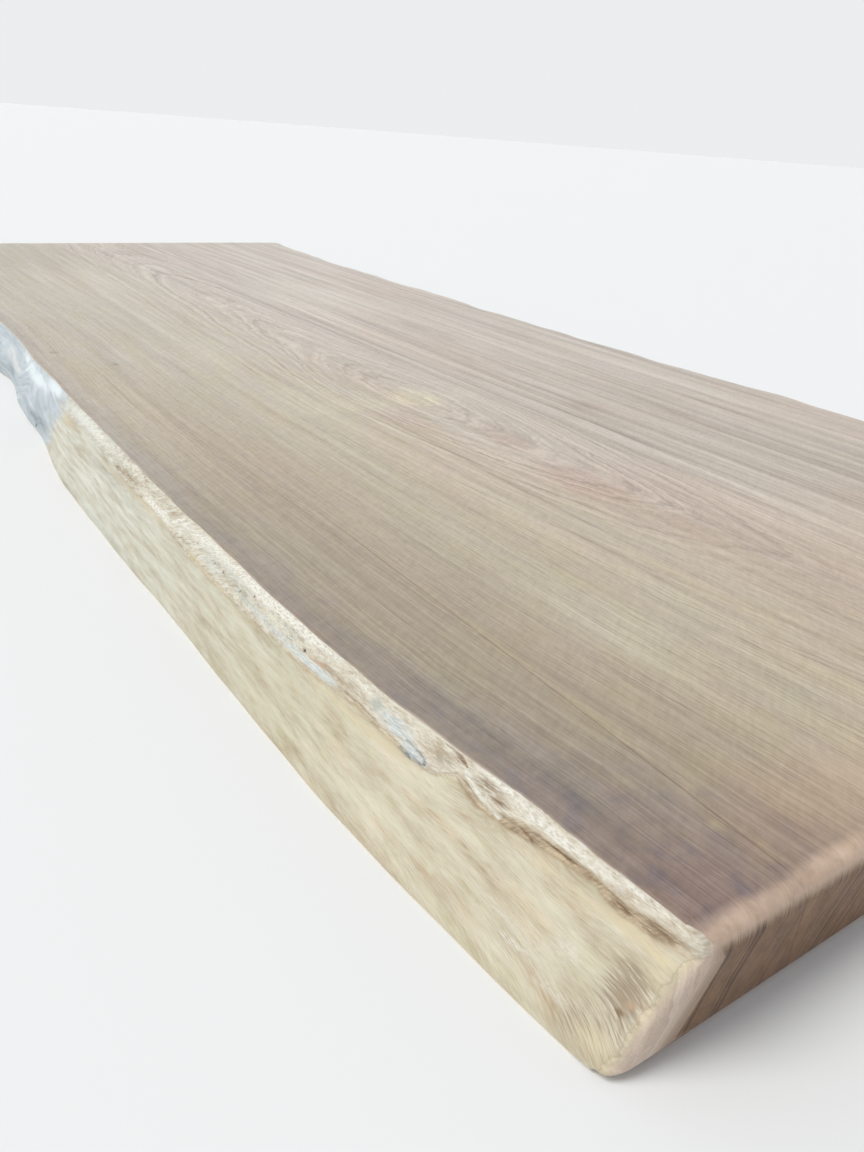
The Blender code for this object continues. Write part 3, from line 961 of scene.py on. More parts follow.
edge_lines = [np.where(is_front, line[FRONT], line[BACK]) for line in (gap, band, cut)]
numbers = {
    "flow": np.stack([s, flow, lean], axis=1) / MM, "groove": np.stack(edge_lines, axis=1),
    "brown": brown, "rust": rust, "tan": tan, "blue": blue, "slate": slate, "grey": grey,
    "white": white, "cream": cream, "pale_fold": pale_fold, "yellow": yellow, "streaked": streaked,
    "frost": frost, "burl": burl, "hole": holes,
    "corners": corner_lines, "feet": foot_lines, "rings": ring_lines,
}
for name, values in numbers.items():
    store(plank, name, values)
print("stored:", ", ".join(numbers))

# %% [markdown]
# ## A small language for materials
# A material is a net of nodes. Writing each node and each wire out makes long cells, so this
# class has one short method for each kind of node, and each method returns the node's output.

# %% Paint
class Paint:
    """A Principled material whose nodes are added by short calls."""

    def __init__(self, name):
        self.material = bpy.data.materials.new(name)
        self.material.use_nodes = True
        self.tree = self.material.node_tree
        self.shader = self.tree.nodes["Principled BSDF"]

    def node(self, kind, inputs=(), **settings):
        made = self.tree.nodes.new("ShaderNode" + kind)
        for name, value in settings.items():
            setattr(made, name, value)
        for name, value in dict(inputs).items():
            self.feed(made.inputs[name], value)
        return made

    def feed(self, socket, value):
        if isinstance(value, bpy.types.NodeSocket):
            self.tree.links.new(value, socket)
        elif isinstance(value, tuple) and len(value) == 3 and socket.type == "RGBA":
            socket.default_value = (*value, 1.0)
        else:
            socket.default_value = value

    def place(self):
        return self.node("TexCoord").outputs["Object"]

    def from_near_end(self, place):
        return self.take(high.x, self.parts(place)[0])

    def from_an_end(self, place):
        """Metres inside the nearer end face."""
        return self.take(high.x, self.size(self.parts(place)[0]))

    def stored(self, name, output="Fac"):
        return self.node("Attribute", attribute_name=name).outputs[output]

    def parts(self, vector):
        return self.node("SeparateXYZ", {0: vector}).outputs[:]

    def vector(self, x, y, z):
        return self.node("CombineXYZ", {0: x, 1: y, 2: z}).outputs[0]

    def math(self, operation, first, second=0.0, clamp=False):
        inputs = {0: first, 1: second}
        return self.node("Math", inputs, operation=operation, use_clamp=clamp).outputs[0]

    def add(self, first, second):
        return self.math("ADD", first, second)

    def take(self, first, second):
        return self.math("SUBTRACT", first, second)

    def times(self, first, *factors, clamp=False):
        for factor in factors:
            first = self.math("MULTIPLY", first, factor, clamp)
        return first

    def size(self, value):
        return self.math("ABSOLUTE", value)

    def fading(self, value, reach):
        """1 where the value is 0, falling off as it grows, to about a third at the reach."""
        return self.math("EXPONENT", self.times(value, -1.0 / reach))

    def noise(self, vector, detail=2.0, roughness=0.5, distortion=0.0):
        inputs = {"Vector": vector, "Scale": 1.0, "Detail": detail, "Roughness": roughness,
                  "Distortion": distortion}
        return self.node("TexNoise", inputs).outputs["Fac"]

    def grain(self, place, length, width, detail=2.0, roughness=0.55):
        """Noise drawn out along the board, with lumps of this length and width in metres."""
        scale = (1.0 / length, 1.0 / width, 1.0 / width)
        drawn = self.node("VectorMath", {0: place, 1: scale}, operation="MULTIPLY").outputs[0]
        return self.noise(drawn, detail, roughness)

    def fibres(self, along, across, length, width, seed=0.0, detail=2.0, roughness=0.55):
        """Noise drawn out along the fibres of an edge, with lumps of this length and width."""
        place = self.vector(self.times(along, 1.0 / length), self.times(across, 1.0 / width), seed)
        return self.noise(place, detail, roughness)

    def line_noise(self, value, width, detail=1.0):
        inputs = {"W": self.times(value, 1.0 / width), "Scale": 1.0, "Detail": detail}
        return self.node("TexNoise", inputs, noise_dimensions="1D").outputs["Fac"]

    def rise(self, value, start, end, low=0.0, high=1.0):
        inputs = {"Value": value, "From Min": start, "From Max": end, "To Min": low, "To Max": high}
        return self.node("MapRange", inputs, interpolation_type="SMOOTHSTEP").outputs["Result"]

    def sum(self, start, *terms):
        """A middle value plus noises, each counted from its own middle and times its strength."""
        for noise, strength in terms:
            start = self.add(start, self.times(self.take(noise, 0.5), strength))
        return start

    def ramp(self, value, *stops):
        made = self.node("ValToRGB", {"Fac": value})
        elements = made.color_ramp.elements
        while len(elements) < len(stops):
            elements.new(0.5)
        for element, (position, colour) in zip(elements, stops):
            element.position = position
            element.color = (*colour, 1.0)
        return made.outputs["Color"]

    def mix(self, factor, first, second, blend="MIX"):
        made = self.node("Mix", data_type="RGBA", blend_type=blend, clamp_factor=True)
        self.feed(made.inputs[0], factor)
        self.feed(made.inputs[6], first)
        self.feed(made.inputs[7], second)
        return made.outputs[2]

    def tint(self, factor, colour, by):
        return self.mix(factor, colour, by, "MULTIPLY")

    def finish(self, colour, roughness, height, bump_distance, bump_strength=1.0):
        self.feed(self.shader.inputs["Base Color"], colour)
        self.feed(self.shader.inputs["Roughness"], roughness)
        inputs = {"Strength": bump_strength, "Distance": bump_distance, "Height": height}
        bump = self.node("Bump", inputs)
        self.feed(self.shader.inputs["Normal"], bump.outputs["Normal"])
        return self.material


# %% [markdown]
# ## Heartwood
# Iroko's heartwood is a greyish golden brown. Its pattern is one and the same on every cut face
# because it is solid: growth rings round the middle of the tree, and fibres along it. So the
# colour is worked out from the place in the board. Where the flat top only just grazes a ring,
# the ring shows as a long closed flame; towards the edges it shows as narrow stripes; on the end
# it shows as a slanting line. Very long thin noise makes the open pores, which are dashes on the
# top and dots on the end.

# %% Heartwood colours
SWELL_REACH = 0.22
RING_WIDTHS = ((0.0007, 0.52), (0.0017, 0.42), (0.0042, 0.20), (0.0130, 0.16))
DARK_BAND = (0.335, 0.270, 0.210)
MIDDLE_BAND = (0.462, 0.388, 0.305)
LIGHT_BAND = (0.585, 0.505, 0.410)
PORE_COLOUR = (0.190, 0.135, 0.098)
FLECK_COLOUR = (0.780, 0.700, 0.590)
PINKISH = (1.04, 0.95, 0.93)
OLIVE = (0.99, 1.03, 0.93)
ORANGE = (1.04, 0.97, 0.88)
SPINDLE = (0.80, 0.77, 0.76)
BLOTCH = (1.00, 1.01, 0.95)
MIDDLE_WOOD = (0.99, 0.965, 0.935)
# Noises: length along the board and width in metres, then how much fine detail.
SLOW_WANDER = (0.40, 0.11, 1.0)
QUICK_WANDER = (0.08, 0.022)
RING_RIPPLE = (0.013, 0.010)
RIBBONS = (0.90, 0.0180, 3.0)
LONG_STREAKS = (0.30, 0.0030, 3.0)
FINE_STREAKS = (0.026, 0.0008)
CROSS_FIGURE = (0.005, 0.014)
SPINDLES = (0.25, 0.012, 1.0)
HUE_AREAS = (0.5, 0.15)
BLOTCHES = (0.07, 0.03, 3.0)
FLAME_PATCHES = (0.10, 0.035)
PORES = (0.022, 0.00045, 1.0)
FLECKS = (0.012, 0.0009, 1.0)


def ring_radius(paint, place, bent):
    """Distance from the middle of the tree, with the swelling and the wander of the rings."""
    pith, swell, _ = paint.parts(paint.stored("rings", "Vector"))
    _, y, z = paint.parts(bent)
    across = paint.take(y, pith)
    up = paint.add(z, PITH_DEPTH)
    squares = paint.times(across, across)
    near_pith = paint.fading(squares, SWELL_REACH**2)
    radius = paint.math("SQRT", paint.add(squares, paint.times(up, up)))
    radius = paint.add(radius, paint.times(swell, near_pith))
    slow = paint.grain(place, *SLOW_WANDER)
    quick = paint.grain(place, *QUICK_WANDER)
    ripple = paint.grain(place, *RING_RIPPLE)
    radius = paint.sum(radius, (slow, 0.0090), (quick, 0.0034), (ripple, 0.0012))
    return radius, near_pith


def grain_place(paint, place):
    """The place in the board, bent so that the fibres near the front edge run along it."""
    x, y, z = paint.parts(place)
    front_corner, _, _ = paint.parts(paint.stored("corners", "Vector"))
    bend_here = paint.parts(paint.stored("rings", "Vector"))[2]
    inwards = paint.take(y, front_corner)
    fade = paint.rise(inwards, 0.0, 0.45, 0.8, 0.0)
    return paint.vector(x, paint.add(y, paint.times(bend_here, fade)), z), inwards


def heartwood_tone(paint, place, bent):
    """One number for how light the wood is: rings, ribbons, streaks and fibres together."""
    radius, near_pith = ring_radius(paint, place, bent)
    rings = 0.5
    for width, share in RING_WIDTHS:
        rings = paint.sum(rings, (paint.line_noise(radius, width), share))
    patchy = paint.rise(paint.grain(place, *FLAME_PATCHES), 0.3, 0.7, 0.55, 1.0)
    x, y, z = paint.parts(place)
    fainter = paint.rise(x, high.x - 0.60, high.x - 0.22, 0.50, -0.38)
    strength = paint.add(paint.times(paint.rise(near_pith, 0.5, 0.95), fainter), 0.8)
    flame = paint.times(paint.take(rings, 0.5), paint.times(patchy, strength))
    ribbon = paint.grain(bent, *RIBBONS)
    streaks = paint.grain(bent, *LONG_STREAKS)
    fine = paint.grain(bent, *FINE_STREAKS)
    figure = paint.vector(paint.add(x, paint.times(y, 0.7)), y, z)
    ripple = paint.grain(figure, *CROSS_FIGURE)
    stripy = paint.rise(y, -0.20, 0.15)
    ribbon = (ribbon, paint.add(paint.times(stripy, 0.48), 0.42))
    streaks = (streaks, paint.add(paint.times(stripy, 0.14), 0.42))
    tone = paint.sum(paint.add(flame, 0.5), ribbon, streaks, (fine, 0.46), (ripple, 0.24))
    return tone, radius, fine


def heartwood_colour(paint, place):
    """Colour and height of the heartwood anywhere in the board."""
    bent, inwards = grain_place(paint, place)
    tone, radius, fine = heartwood_tone(paint, place, bent)
    colour = paint.ramp(tone, (0.24, DARK_BAND), (0.5, MIDDLE_BAND), (0.76, LIGHT_BAND))
    x, y, z = paint.parts(place)
    spindles = paint.rise(paint.grain(bent, *SPINDLES), 0.60, 0.72)
    colour = paint.tint(paint.times(spindles, paint.rise(y, -0.05, 0.1), 0.7), colour, SPINDLE)
    hue = paint.grain(place, *HUE_AREAS)
    colour = paint.tint(paint.rise(hue, 0.45, 0.70, 0.0, 0.6), colour, PINKISH)
    blotches = paint.rise(paint.grain(place, *BLOTCHES), 0.40, 0.62)
    colour = paint.tint(paint.times(blotches, paint.rise(y, 0.0, -0.15)), colour, BLOTCH)
    colour = paint.tint(paint.times(paint.rise(y, -0.02, -0.25), 0.7), colour, OLIVE)
    colour = paint.tint(paint.times(paint.rise(x, 0.75, 1.3), paint.rise(y, -0.3, 0.1)), colour, ORANGE)
    middle = paint.rise(x, high.x - 0.18, high.x - 0.40)
    middle = paint.times(middle, paint.rise(x, high.x - 1.20, high.x - 0.80))
    colour = paint.tint(paint.times(middle, paint.rise(y, -0.10, -0.25)), colour, MIDDLE_WOOD)
    pores = paint.rise(paint.grain(bent, *PORES), 0.60, 0.72)
    colour = paint.mix(paint.times(pores, 0.42), colour, PORE_COLOUR)
    flecks = paint.rise(paint.grain(bent, *FLECKS), 0.66, 0.76)
    colour = paint.mix(paint.times(flecks, 0.30), colour, FLECK_COLOUR)
    return colour, paint.take(paint.times(fine, 0.5), paint.times(pores, 0.8)), inwards, radius


# %% [markdown]
# ## Marks on the top
# Some marks have their own place on the top: pinkish patches inside the flame, a few long dark
# stripes beyond it, paler and darker areas, small knots and smudges, and one fine growth line
# beside the front edge. The paler areas are partly pale wood and partly a painted bluish-white
# sheen, and three of the light patches are a painted reflection: a pale streak across the top at
# about 0.91 m from the near end, as a window would cast. Each is a soft ellipse in the plane of the
# board, given by its distance from the near end, its y, its two half sizes in metres, and a strength.

# %% Marks on the top
PINK_PATCHES = (
    (0.34, -0.05, 0.13, 0.060, 0.75), (0.545, -0.075, 0.10, 0.055, 1.0),
    (0.69, -0.06, 0.07, 0.040, 0.8), (0.81, -0.14, 0.10, 0.040, 0.9),
    (0.14, -0.02, 0.16, 0.050, 0.5), (1.02, -0.07, 0.20, 0.060, 0.4),
    (0.48, -0.075, 0.17, 0.055, 0.7), (0.22, -0.09, 0.12, 0.060, 0.5),
)
DARK_MARKS = (
    (0.785, 0.155, 0.045, 0.040, 0.28), (1.231, -0.393, 0.010, 0.010, 0.45),
    (1.231, -0.393, 0.030, 0.0045, 0.40), (1.331, -0.457, 0.012, 0.010, 0.55),
    (1.279, -0.088, 0.013, 0.008, 0.40), (1.245, 0.232, 0.050, 0.011, 0.40),
    (1.360, 0.228, 0.070, 0.012, 0.40), (0.009, -0.3975, 0.0045, 0.0055, 0.7),
)
LONG_STRIPES = (
    (0.93, 0.190, 0.24, 0.0110, 0.8), (0.74, 0.137, 0.26, 0.0085, 0.6),
    (0.74, 0.108, 0.30, 0.0076, 0.7), (0.70, 0.275, 0.30, 0.0119, 0.6),
    (0.78, 0.250, 0.26, 0.0076, 0.5), (1.08, 0.045, 0.24, 0.0102, 0.5),
    (1.58, -0.165, 0.28, 0.0102, 0.5), (0.60, -0.155, 0.26, 0.0085, 0.5),
    (1.00, -0.200, 0.30, 0.0085, 0.5), (0.52, -0.245, 0.28, 0.0076, 0.4),
    (1.36, 0.234, 0.22, 0.0170, 0.7), (0.90, 0.156, 0.26, 0.0076, 0.7),
    (0.42, 0.265, 0.22, 0.0102, 0.7), (0.55, 0.183, 0.26, 0.0102, 0.7),
    (0.50, 0.072, 0.24, 0.0068, 0.5), (1.20, 0.068, 0.26, 0.0085, 0.5),
)
BLUE_BLOTCHES = (
    (0.0545, -0.4425, 0.014, 0.007, 1.0), (0.052, -0.472, 0.010, 0.008, 0.9),
    (0.019, -0.441, 0.012, 0.009, 0.7), (0.120, -0.468, 0.040, 0.010, 0.6),
    (0.240, -0.476, 0.060, 0.008, 0.5),
)
# Painted reflection: the first three rows lay a pale streak across the top at about 0.91 m from the
# near end; the last row is a small real pale spot beside the near end.
PAINTED_REFLECTION_AND_SPOT = (
    (0.915, -0.060, 0.070, 0.052, 1.1), (0.905, -0.10, 0.045, 0.20, 0.40),
    (0.95, -0.20, 0.10, 0.12, 0.2), (0.061, -0.412, 0.008, 0.006, 1.0),
)
# Partly pale wood and partly a painted bluish-white sheen on the top.
PALE_AND_SHEEN_PATCHES = (
    (0.38, 0.07, 0.18, 0.09, 0.6), (1.68, 0.18, 0.46, 0.15, 1.0), (1.28, -0.24, 0.25, 0.09, 0.4),
    (0.27, -0.31, 0.14, 0.07, 0.5), (1.52, 0.108, 0.34, 0.035, 0.7),
    (1.37, -0.025, 0.09, 0.030, 0.6),
)
DULL_PATCHES = ((2.40, -0.26, 0.42, 0.30, 1.0),)
PINK_TINT = (0.93, 0.85, 0.83)
STRIPE_TINT = (0.69, 0.65, 0.63)
STRIPE_SWAY = 0.02
# Among these, the pale patches carry a painted sheen and the light patches a painted reflection,
# besides the real marks.
TINTED_MARKS = (
    (PALE_AND_SHEEN_PATCHES, (1.12, 1.155, 1.175)), (DULL_PATCHES, (0.87, 0.85, 0.84)),
    (PAINTED_REFLECTION_AND_SPOT, (1.19, 1.25, 1.10)), (BLUE_BLOTCHES, (0.80, 0.84, 0.98)),
    (DARK_MARKS, (0.62, 0.50, 0.42)),
)
GROWTH_LINE = (-0.4072, 0.032, -0.020)
GROWTH_LINE_WIDTH = 0.0011
GROWTH_LINE_TINT = (0.76, 0.70, 0.64)
ABOVE_LINE_TINT = (1.09, 1.08, 1.04)
PINK_STREAKS = (0.12, 0.006)
STRIPE_BREAKS = (0.05, 0.002)
STRIPE_WAVES = (0.30, 0.20, 1.0)


def ellipse(paint, place, at, half, strength):
    """The strength at one place of the top, fading to 0 at the border of an ellipse."""
    centre = (high.x - at[0], at[1], 0.0)
    moved = paint.node("VectorMath", {0: place, 1: centre}, operation="SUBTRACT").outputs[0]
    by = (1.0 / half[0], 1.0 / half[1], 0.0)
    scaled = paint.node("VectorMath", {0: moved, 1: by}, operation="MULTIPLY")
    reach = paint.node("VectorMath", {0: scaled.outputs[0]}, operation="LENGTH").outputs["Value"]
    return paint.rise(reach, 1.0, 0.15, 0.0, strength)


def marks(paint, place, spots):
    total = 0.0
    for row in spots:
        total = paint.add(total, ellipse(paint, place, row[0:2], row[2:4], row[4]))
    return total


def marked_top(paint, place, colour):
    """Lays every mark of the top over the heartwood."""
    x, y, z = paint.parts(place)
    from_end = paint.take(high.x, x)
    streaky = paint.rise(paint.grain(place, *PINK_STREAKS), 0.3, 0.7, 0.6, 1.0)
    pink = paint.times(marks(paint, place, PINK_PATCHES), streaky)
    colour = paint.tint(pink, colour, PINK_TINT)
    broken = paint.rise(paint.grain(place, *STRIPE_BREAKS), 0.35, 0.60, 0.35, 1.0)
    wavy = paint.grain(place, *STRIPE_WAVES)
    swayed = paint.vector(x, paint.add(y, paint.times(paint.take(wavy, 0.5), STRIPE_SWAY)), z)
    stripes = paint.times(marks(paint, swayed, LONG_STRIPES), broken)
    colour = paint.tint(stripes, colour, STRIPE_TINT)
    for spots, by in TINTED_MARKS:
        colour = paint.tint(marks(paint, place, spots), colour, by)
    slope = paint.add(paint.times(from_end, GROWTH_LINE[2]), GROWTH_LINE[1])
    line = paint.take(y, paint.add(paint.times(from_end, slope), GROWTH_LINE[0]))
    thin = paint.rise(paint.size(line), GROWTH_LINE_WIDTH, 0.2 * GROWTH_LINE_WIDTH)
    above = paint.times(paint.rise(line, 0.0004, 0.0016), paint.rise(line, 0.012, 0.002))
    shown = paint.rise(from_end, 0.65, 0.50)
    colour = paint.tint(paint.times(shown, above), colour, ABOVE_LINE_TINT)
    return paint.tint(paint.times(shown, thin), colour, GROWTH_LINE_TINT)


# %% [markdown]
# ## The darker edge of the top
# Towards the front edge the top gets darker, the more so near the end. This is partly darker outer
# wood and partly painted shade, where the light on the top falls off towards the edge. Close beside
# the edge it is also a little blue, in a zone that is wide and strong at the near end and thins out
# along the board. It is blotchy and has faint ripples across the grain, and it stops just before the
# end, where the round-over cuts through.

# %% Darker edge
OUTER_WOOD_AND_SHADE = (0.755, 0.720, 0.695)
EDGE_SHADE = (0.665, 0.640, 0.780)
EDGE_MOTTLE = (0.84, 0.87, 0.98)
CROSS_RIPPLE = (0.93, 0.92, 0.92)
NEAR_TINT = (1.08, 0.97, 0.94)
OUTER_WANDER = (0.3, 0.05)
ZONE_BORDER = (0.022, 0.022, 3.0)
ZONE_MOTTLES = (0.020, 0.016)
ZONE_RIPPLES = (0.006, 0.040)
END_WANDER = (0.03, 0.045, 3.0)


def darker_edge(paint, place, inwards, colour):
    """Darkens the outer wood, partly as painted shade, then lays the blue zone over it."""
    from_end = paint.from_near_end(place)
    # Painted shade, partly: the outer wood is darkened, more so near the end, where the light on the
    # top falls off towards the front edge.
    outer = paint.sum(inwards, (paint.grain(place, *OUTER_WANDER), 0.06))
    outer = paint.times(paint.rise(outer, 0.25, 0.09), paint.rise(from_end, 1.15, 0.45, 0.25, 1.0))
    colour = paint.tint(outer, colour, OUTER_WOOD_AND_SHADE)
    colour = paint.tint(paint.rise(from_end, 0.13, 0.02), colour, NEAR_TINT)
    width = paint.add(paint.times(paint.fading(from_end, 0.12), 0.13), 0.036)
    share = paint.math("DIVIDE", inwards, width)
    share = paint.sum(share, (paint.grain(place, *ZONE_BORDER), 0.9))
    mottles = paint.rise(paint.grain(place, *ZONE_MOTTLES), 0.45, 0.65)
    crosswise = paint.rise(paint.grain(place, *ZONE_RIPPLES), 0.40, 0.62)
    strength = paint.add(paint.times(paint.fading(from_end, 0.5), 0.65), 0.32)
    amount = paint.times(paint.rise(share, 1.35, 0.1), strength)
    ragged_end = paint.sum(from_end, (paint.grain(place, *END_WANDER), 0.014))
    amount = paint.times(amount, paint.rise(ragged_end, 0.001, 0.015, 0.10, 1.0))
    colour = paint.tint(amount, colour, EDGE_SHADE)
    colour = paint.tint(paint.times(amount, mottles), colour, EDGE_MOTTLE)
    return paint.tint(paint.times(amount, crosswise), colour, CROSS_RIPPLE)


# %% [markdown]
# ## Sapwood on the cut faces
# The outermost wood, which was alive when the tree was felled, stays pale. On the near end it is
# a band beside the face of the edge, a few millimetres wide at the top and about 20 at the foot.
# The same band runs along both sides of the underside, and its end grain wraps round the tip. On
# the flat end it is darker than on the rounded tip and darker still towards the heartwood: partly
# darker end grain and partly painted shade, as the end faces away from the lamp.

# %% Sapwood of the ends
SAP_WIDTH = 0.0215
SAP_DEPTH = 0.0065
SAP_BORDER = 0.0016
SAP_END_DARK = (0.615, 0.485, 0.385)
SAP_END_LIGHT = (0.830, 0.680, 0.560)
SAP_END_DARKER_AND_SHADED = (0.61, 0.535, 0.475)
SAP_END_FACE = (0.89, 0.94, 0.81)
BAND_WAVES = (0.08, 0.012)
BAND_TEETH = (0.02, 0.0015)
LINE_WANDER = (0.02, 0.014)
END_PORES = (0.004, 0.0009)


def inside_edge(paint, place, side):
    """How far a place lies inside the face of one live edge, and how deep below the top."""
    _, y, z = paint.parts(place)
    choice = 0 if side == FRONT else 1
    corner = paint.parts(paint.stored("corners", "Vector"))[choice]
    foot = paint.parts(paint.stored("feet", "Vector"))[choice]
    depth = paint.take(thickness, z)
    share = paint.times(depth, 1.0 / thickness)
    face_y = paint.add(corner, paint.times(paint.take(foot, corner), share))
    return paint.times(paint.take(face_y, y), side), depth


def sap_band(paint, place, side):
    """1 in the pale band inside one live edge."""
    inside, depth = inside_edge(paint, place, side)
    full = paint.take(1.0, paint.fading(depth, SAP_DEPTH))
    width = paint.take(paint.times(full, SAP_WIDTH), SAP_BORDER)
    border = paint.sum(paint.take(width, inside), (paint.grain(place, *BAND_WAVES), 0.003),
                       (paint.grain(place, *BAND_TEETH), 0.0010))
    below_top = paint.rise(depth, 0.0005, 0.0020)
    return paint.times(paint.rise(border, -0.0014, 0.0016), below_top), inside


def sap_end_colour(paint, place, inside):
    """Sapwood in end grain: fine lines that follow the edge's face."""
    wander = paint.sum(inside, (paint.grain(place, *LINE_WANDER), 0.0016))
    lines = paint.sum(0.5, (paint.line_noise(wander, 0.0009, 2.0), 0.9),
                      (paint.grain(place, *END_PORES), 0.40),
                      (paint.line_noise(wander, 0.0045), 0.5))
    colour = paint.ramp(lines, (0.25, SAP_END_DARK), (0.75, SAP_END_LIGHT))
    from_end = paint.from_an_end(place)
    colour = paint.tint(paint.rise(from_end, 0.002, 0.007), colour, SAP_END_FACE)
    # Painted shade, partly: on the flat end the sapwood is darkened, more towards the heartwood,
    # besides being darker end grain.
    on_end = paint.times(paint.rise(from_end, 0.005, 0.0), paint.rise(inside, 0.0, 0.017, 0.10, 1.0))
    return paint.tint(on_end, colour, SAP_END_DARKER_AND_SHADED)


# %% Heartwood material
PORE_BUMP = 0.00018
PORE_BUMP_STRENGTH = 0.6
ROUND_OVER_HIGHLIGHT = (1.12, 1.01, 0.97)
ROUND_OVER_PINK_HIGHLIGHT = (0.765, 0.575, 0.442)
END_GRAIN = (0.78, 0.61, 0.495)
END_CLOUD = (0.84, 0.82, 0.80)
END_RING_LINE = (0.58, 0.53, 0.48)
END_FINE_LINE = (0.70, 0.66, 0.62)
END_LATE_WOOD = (0.50, 0.44, 0.39)
ROUND_AREAS = (0.02, 0.050)
ROUND_MOTTLES = (0.010, 0.009, 3.0)
END_CLOUDS = (0.02, 0.011, 3.0)
GLOSS_AREAS = (0.25, 0.017)


def heartwood_material():
    """The wood of the top, the underside and both ends, with its pale sapwood bands."""
    paint = Paint("Iroko heartwood")
    place = paint.place()
    colour, height, inwards, radius = heartwood_colour(paint, place)
    colour = darker_edge(paint, place, inwards, marked_top(paint, place, colour))
    from_end = paint.from_an_end(place)
    # Painted highlight: the round-over at each end is made lighter and pinker, over the pinkish tone of
    # the end grain that it cuts.
    softened = paint.sum(from_end, (paint.grain(place, *END_WANDER), 0.010))
    rounded = paint.times(paint.rise(softened, 0.018, 0.004), paint.rise(from_end, 0.0, 0.003))
    colour = paint.tint(rounded, colour, ROUND_OVER_HIGHLIGHT)
    pinkish = paint.sum(0.68, (paint.grain(place, *ROUND_AREAS), 0.5),
                        (paint.grain(place, *ROUND_MOTTLES), 0.9))
    colour = paint.mix(paint.times(rounded, pinkish, clamp=True), colour, ROUND_OVER_PINK_HIGHLIGHT)
    end_grain = paint.rise(from_end, 0.0012, 0.0)
    colour = paint.tint(end_grain, colour, END_GRAIN)
    ring_lines = paint.rise(paint.line_noise(radius, 0.0022), 0.50, 0.64)
    grouped = paint.rise(paint.line_noise(radius, 0.0070), 0.40, 0.58, 0.2, 1.0)
    ring_lines = paint.times(ring_lines, grouped)
    cloudy = paint.times(paint.rise(paint.grain(place, *END_CLOUDS), 0.42, 0.62), end_grain)
    colour = paint.tint(cloudy, colour, END_CLOUD)
    fine_lines = paint.rise(paint.line_noise(radius, 0.0008), 0.48, 0.62)
    late_wood = paint.size(paint.take(paint.line_noise(radius, 0.0090), 0.5))
    shown = paint.rise(from_end, 0.0024, 0.0002, 0.12, 1.0)
    shown = paint.times(shown, paint.rise(from_end, 0.016, 0.009))
    colour = paint.tint(paint.times(ring_lines, shown), colour, END_RING_LINE)
    colour = paint.tint(paint.times(fine_lines, shown, 0.8), colour, END_FINE_LINE)
    late_lines = paint.rise(late_wood, 0.017, 0.005)
    colour = paint.tint(paint.times(late_lines, shown), colour, END_LATE_WOOD)
    front_sap, front_inside = sap_band(paint, place, FRONT)
    back_sap, back_inside = sap_band(paint, place, BACK)
    nearest = paint.math("MINIMUM", front_inside, back_inside)
    sap = sap_end_colour(paint, place, nearest)
    colour = paint.mix(paint.math("MAXIMUM", front_sap, back_sap), colour, sap)
    gloss = paint.rise(paint.grain(place, *GLOSS_AREAS), 0.3, 0.7, 0.40, 0.50)
    return paint.finish(colour, gloss, height, PORE_BUMP, PORE_BUMP_STRENGTH)


heartwood = heartwood_material()
print("heartwood nodes:", len(heartwood.node_tree.nodes))

# %% [markdown]
# ## Sapwood of the live edge
# The brushed face below the crevice is cream to pale tan. Four noises make it, each drawn out
# along the fibres: threads a millimetre wide, brush marks half as wide, soft patches and broad
# clouds. The first two get fainter along the board, and the face turns a little greyer.

# %% Brushed sapwood
SAP_LIGHT = (0.655, 0.610, 0.475)
SAP_MIDDLE = (0.560, 0.510, 0.378)
SAP_DARK = (0.455, 0.385, 0.265)
SAP_DEEP = (0.320, 0.245, 0.150)
NEARER = (0.93, 0.92, 0.91)
GREYER = (0.90, 0.96, 1.07)
DULLER = (0.92, 0.92, 0.89)
WARMER = (1.02, 0.975, 0.935)
COOLER = (0.99, 1.005, 0.965)
DASH_COLOUR = (0.28, 0.20, 0.13)
FIBRES_FADE = (0.30, 0.90)
# Noises: length along the fibres and width in metres, a seed, then fine detail.
SAP_THREADS = (0.017, 0.0010, 0.0, 3.0)
SAP_BRUSH = (0.008, 0.0005, 3.0)
SAP_PATCHES = (0.034, 0.0100, 7.0, 3.0)
SAP_CLOUDS = (0.090, 0.0240, 8.0)
SAP_WARMTH = (0.06, 0.014, 12.0)
SAP_DASHES = (0.009, 0.0005, 9.0, 1.0)


def brushed_sapwood(paint, along, across):
    """Colour and height of the brushed face, from noises along its fibres."""
    fibre = paint.fibres(along, across, *SAP_THREADS)
    brush = paint.fibres(along, across, *SAP_BRUSH)
    patches = paint.fibres(along, across, *SAP_PATCHES)
    clouds = paint.fibres(along, across, *SAP_CLOUDS)
    near = paint.rise(along, *FIBRES_FADE, 1.0, 0.4)
    tone = paint.sum(0.5, (fibre, paint.times(near, 0.52)), (brush, paint.times(near, 0.46)),
                     (patches, 0.60), (clouds, paint.rise(along, 0.40, 0.90, 0.62, 0.95)))
    colour = paint.ramp(tone, (0.16, SAP_DEEP), (0.34, SAP_DARK), (0.52, SAP_MIDDLE),
                        (0.74, SAP_LIGHT))
    warmth = paint.fibres(along, across, *SAP_WARMTH)
    colour = paint.tint(paint.rise(warmth, 0.5, 0.68), colour, WARMER)
    colour = paint.tint(paint.rise(warmth, 0.48, 0.34), colour, COOLER)
    dashes = paint.fibres(along, across, *SAP_DASHES)
    colour = paint.mix(paint.rise(dashes, 0.70, 0.80, 0.0, 0.22), colour, DASH_COLOUR)
    colour = paint.tint(paint.rise(along, 0.35, 0.0), colour, NEARER)
    colour = paint.tint(paint.rise(along, 0.12, 0.80), colour, GREYER)
    dull = paint.times(paint.rise(along, 0.20, 0.32), paint.rise(along, 0.70, 0.42))
    colour = paint.tint(dull, colour, DULLER)
    return colour, paint.sum(0.5, (fibre, 0.7), (brush, 0.6))


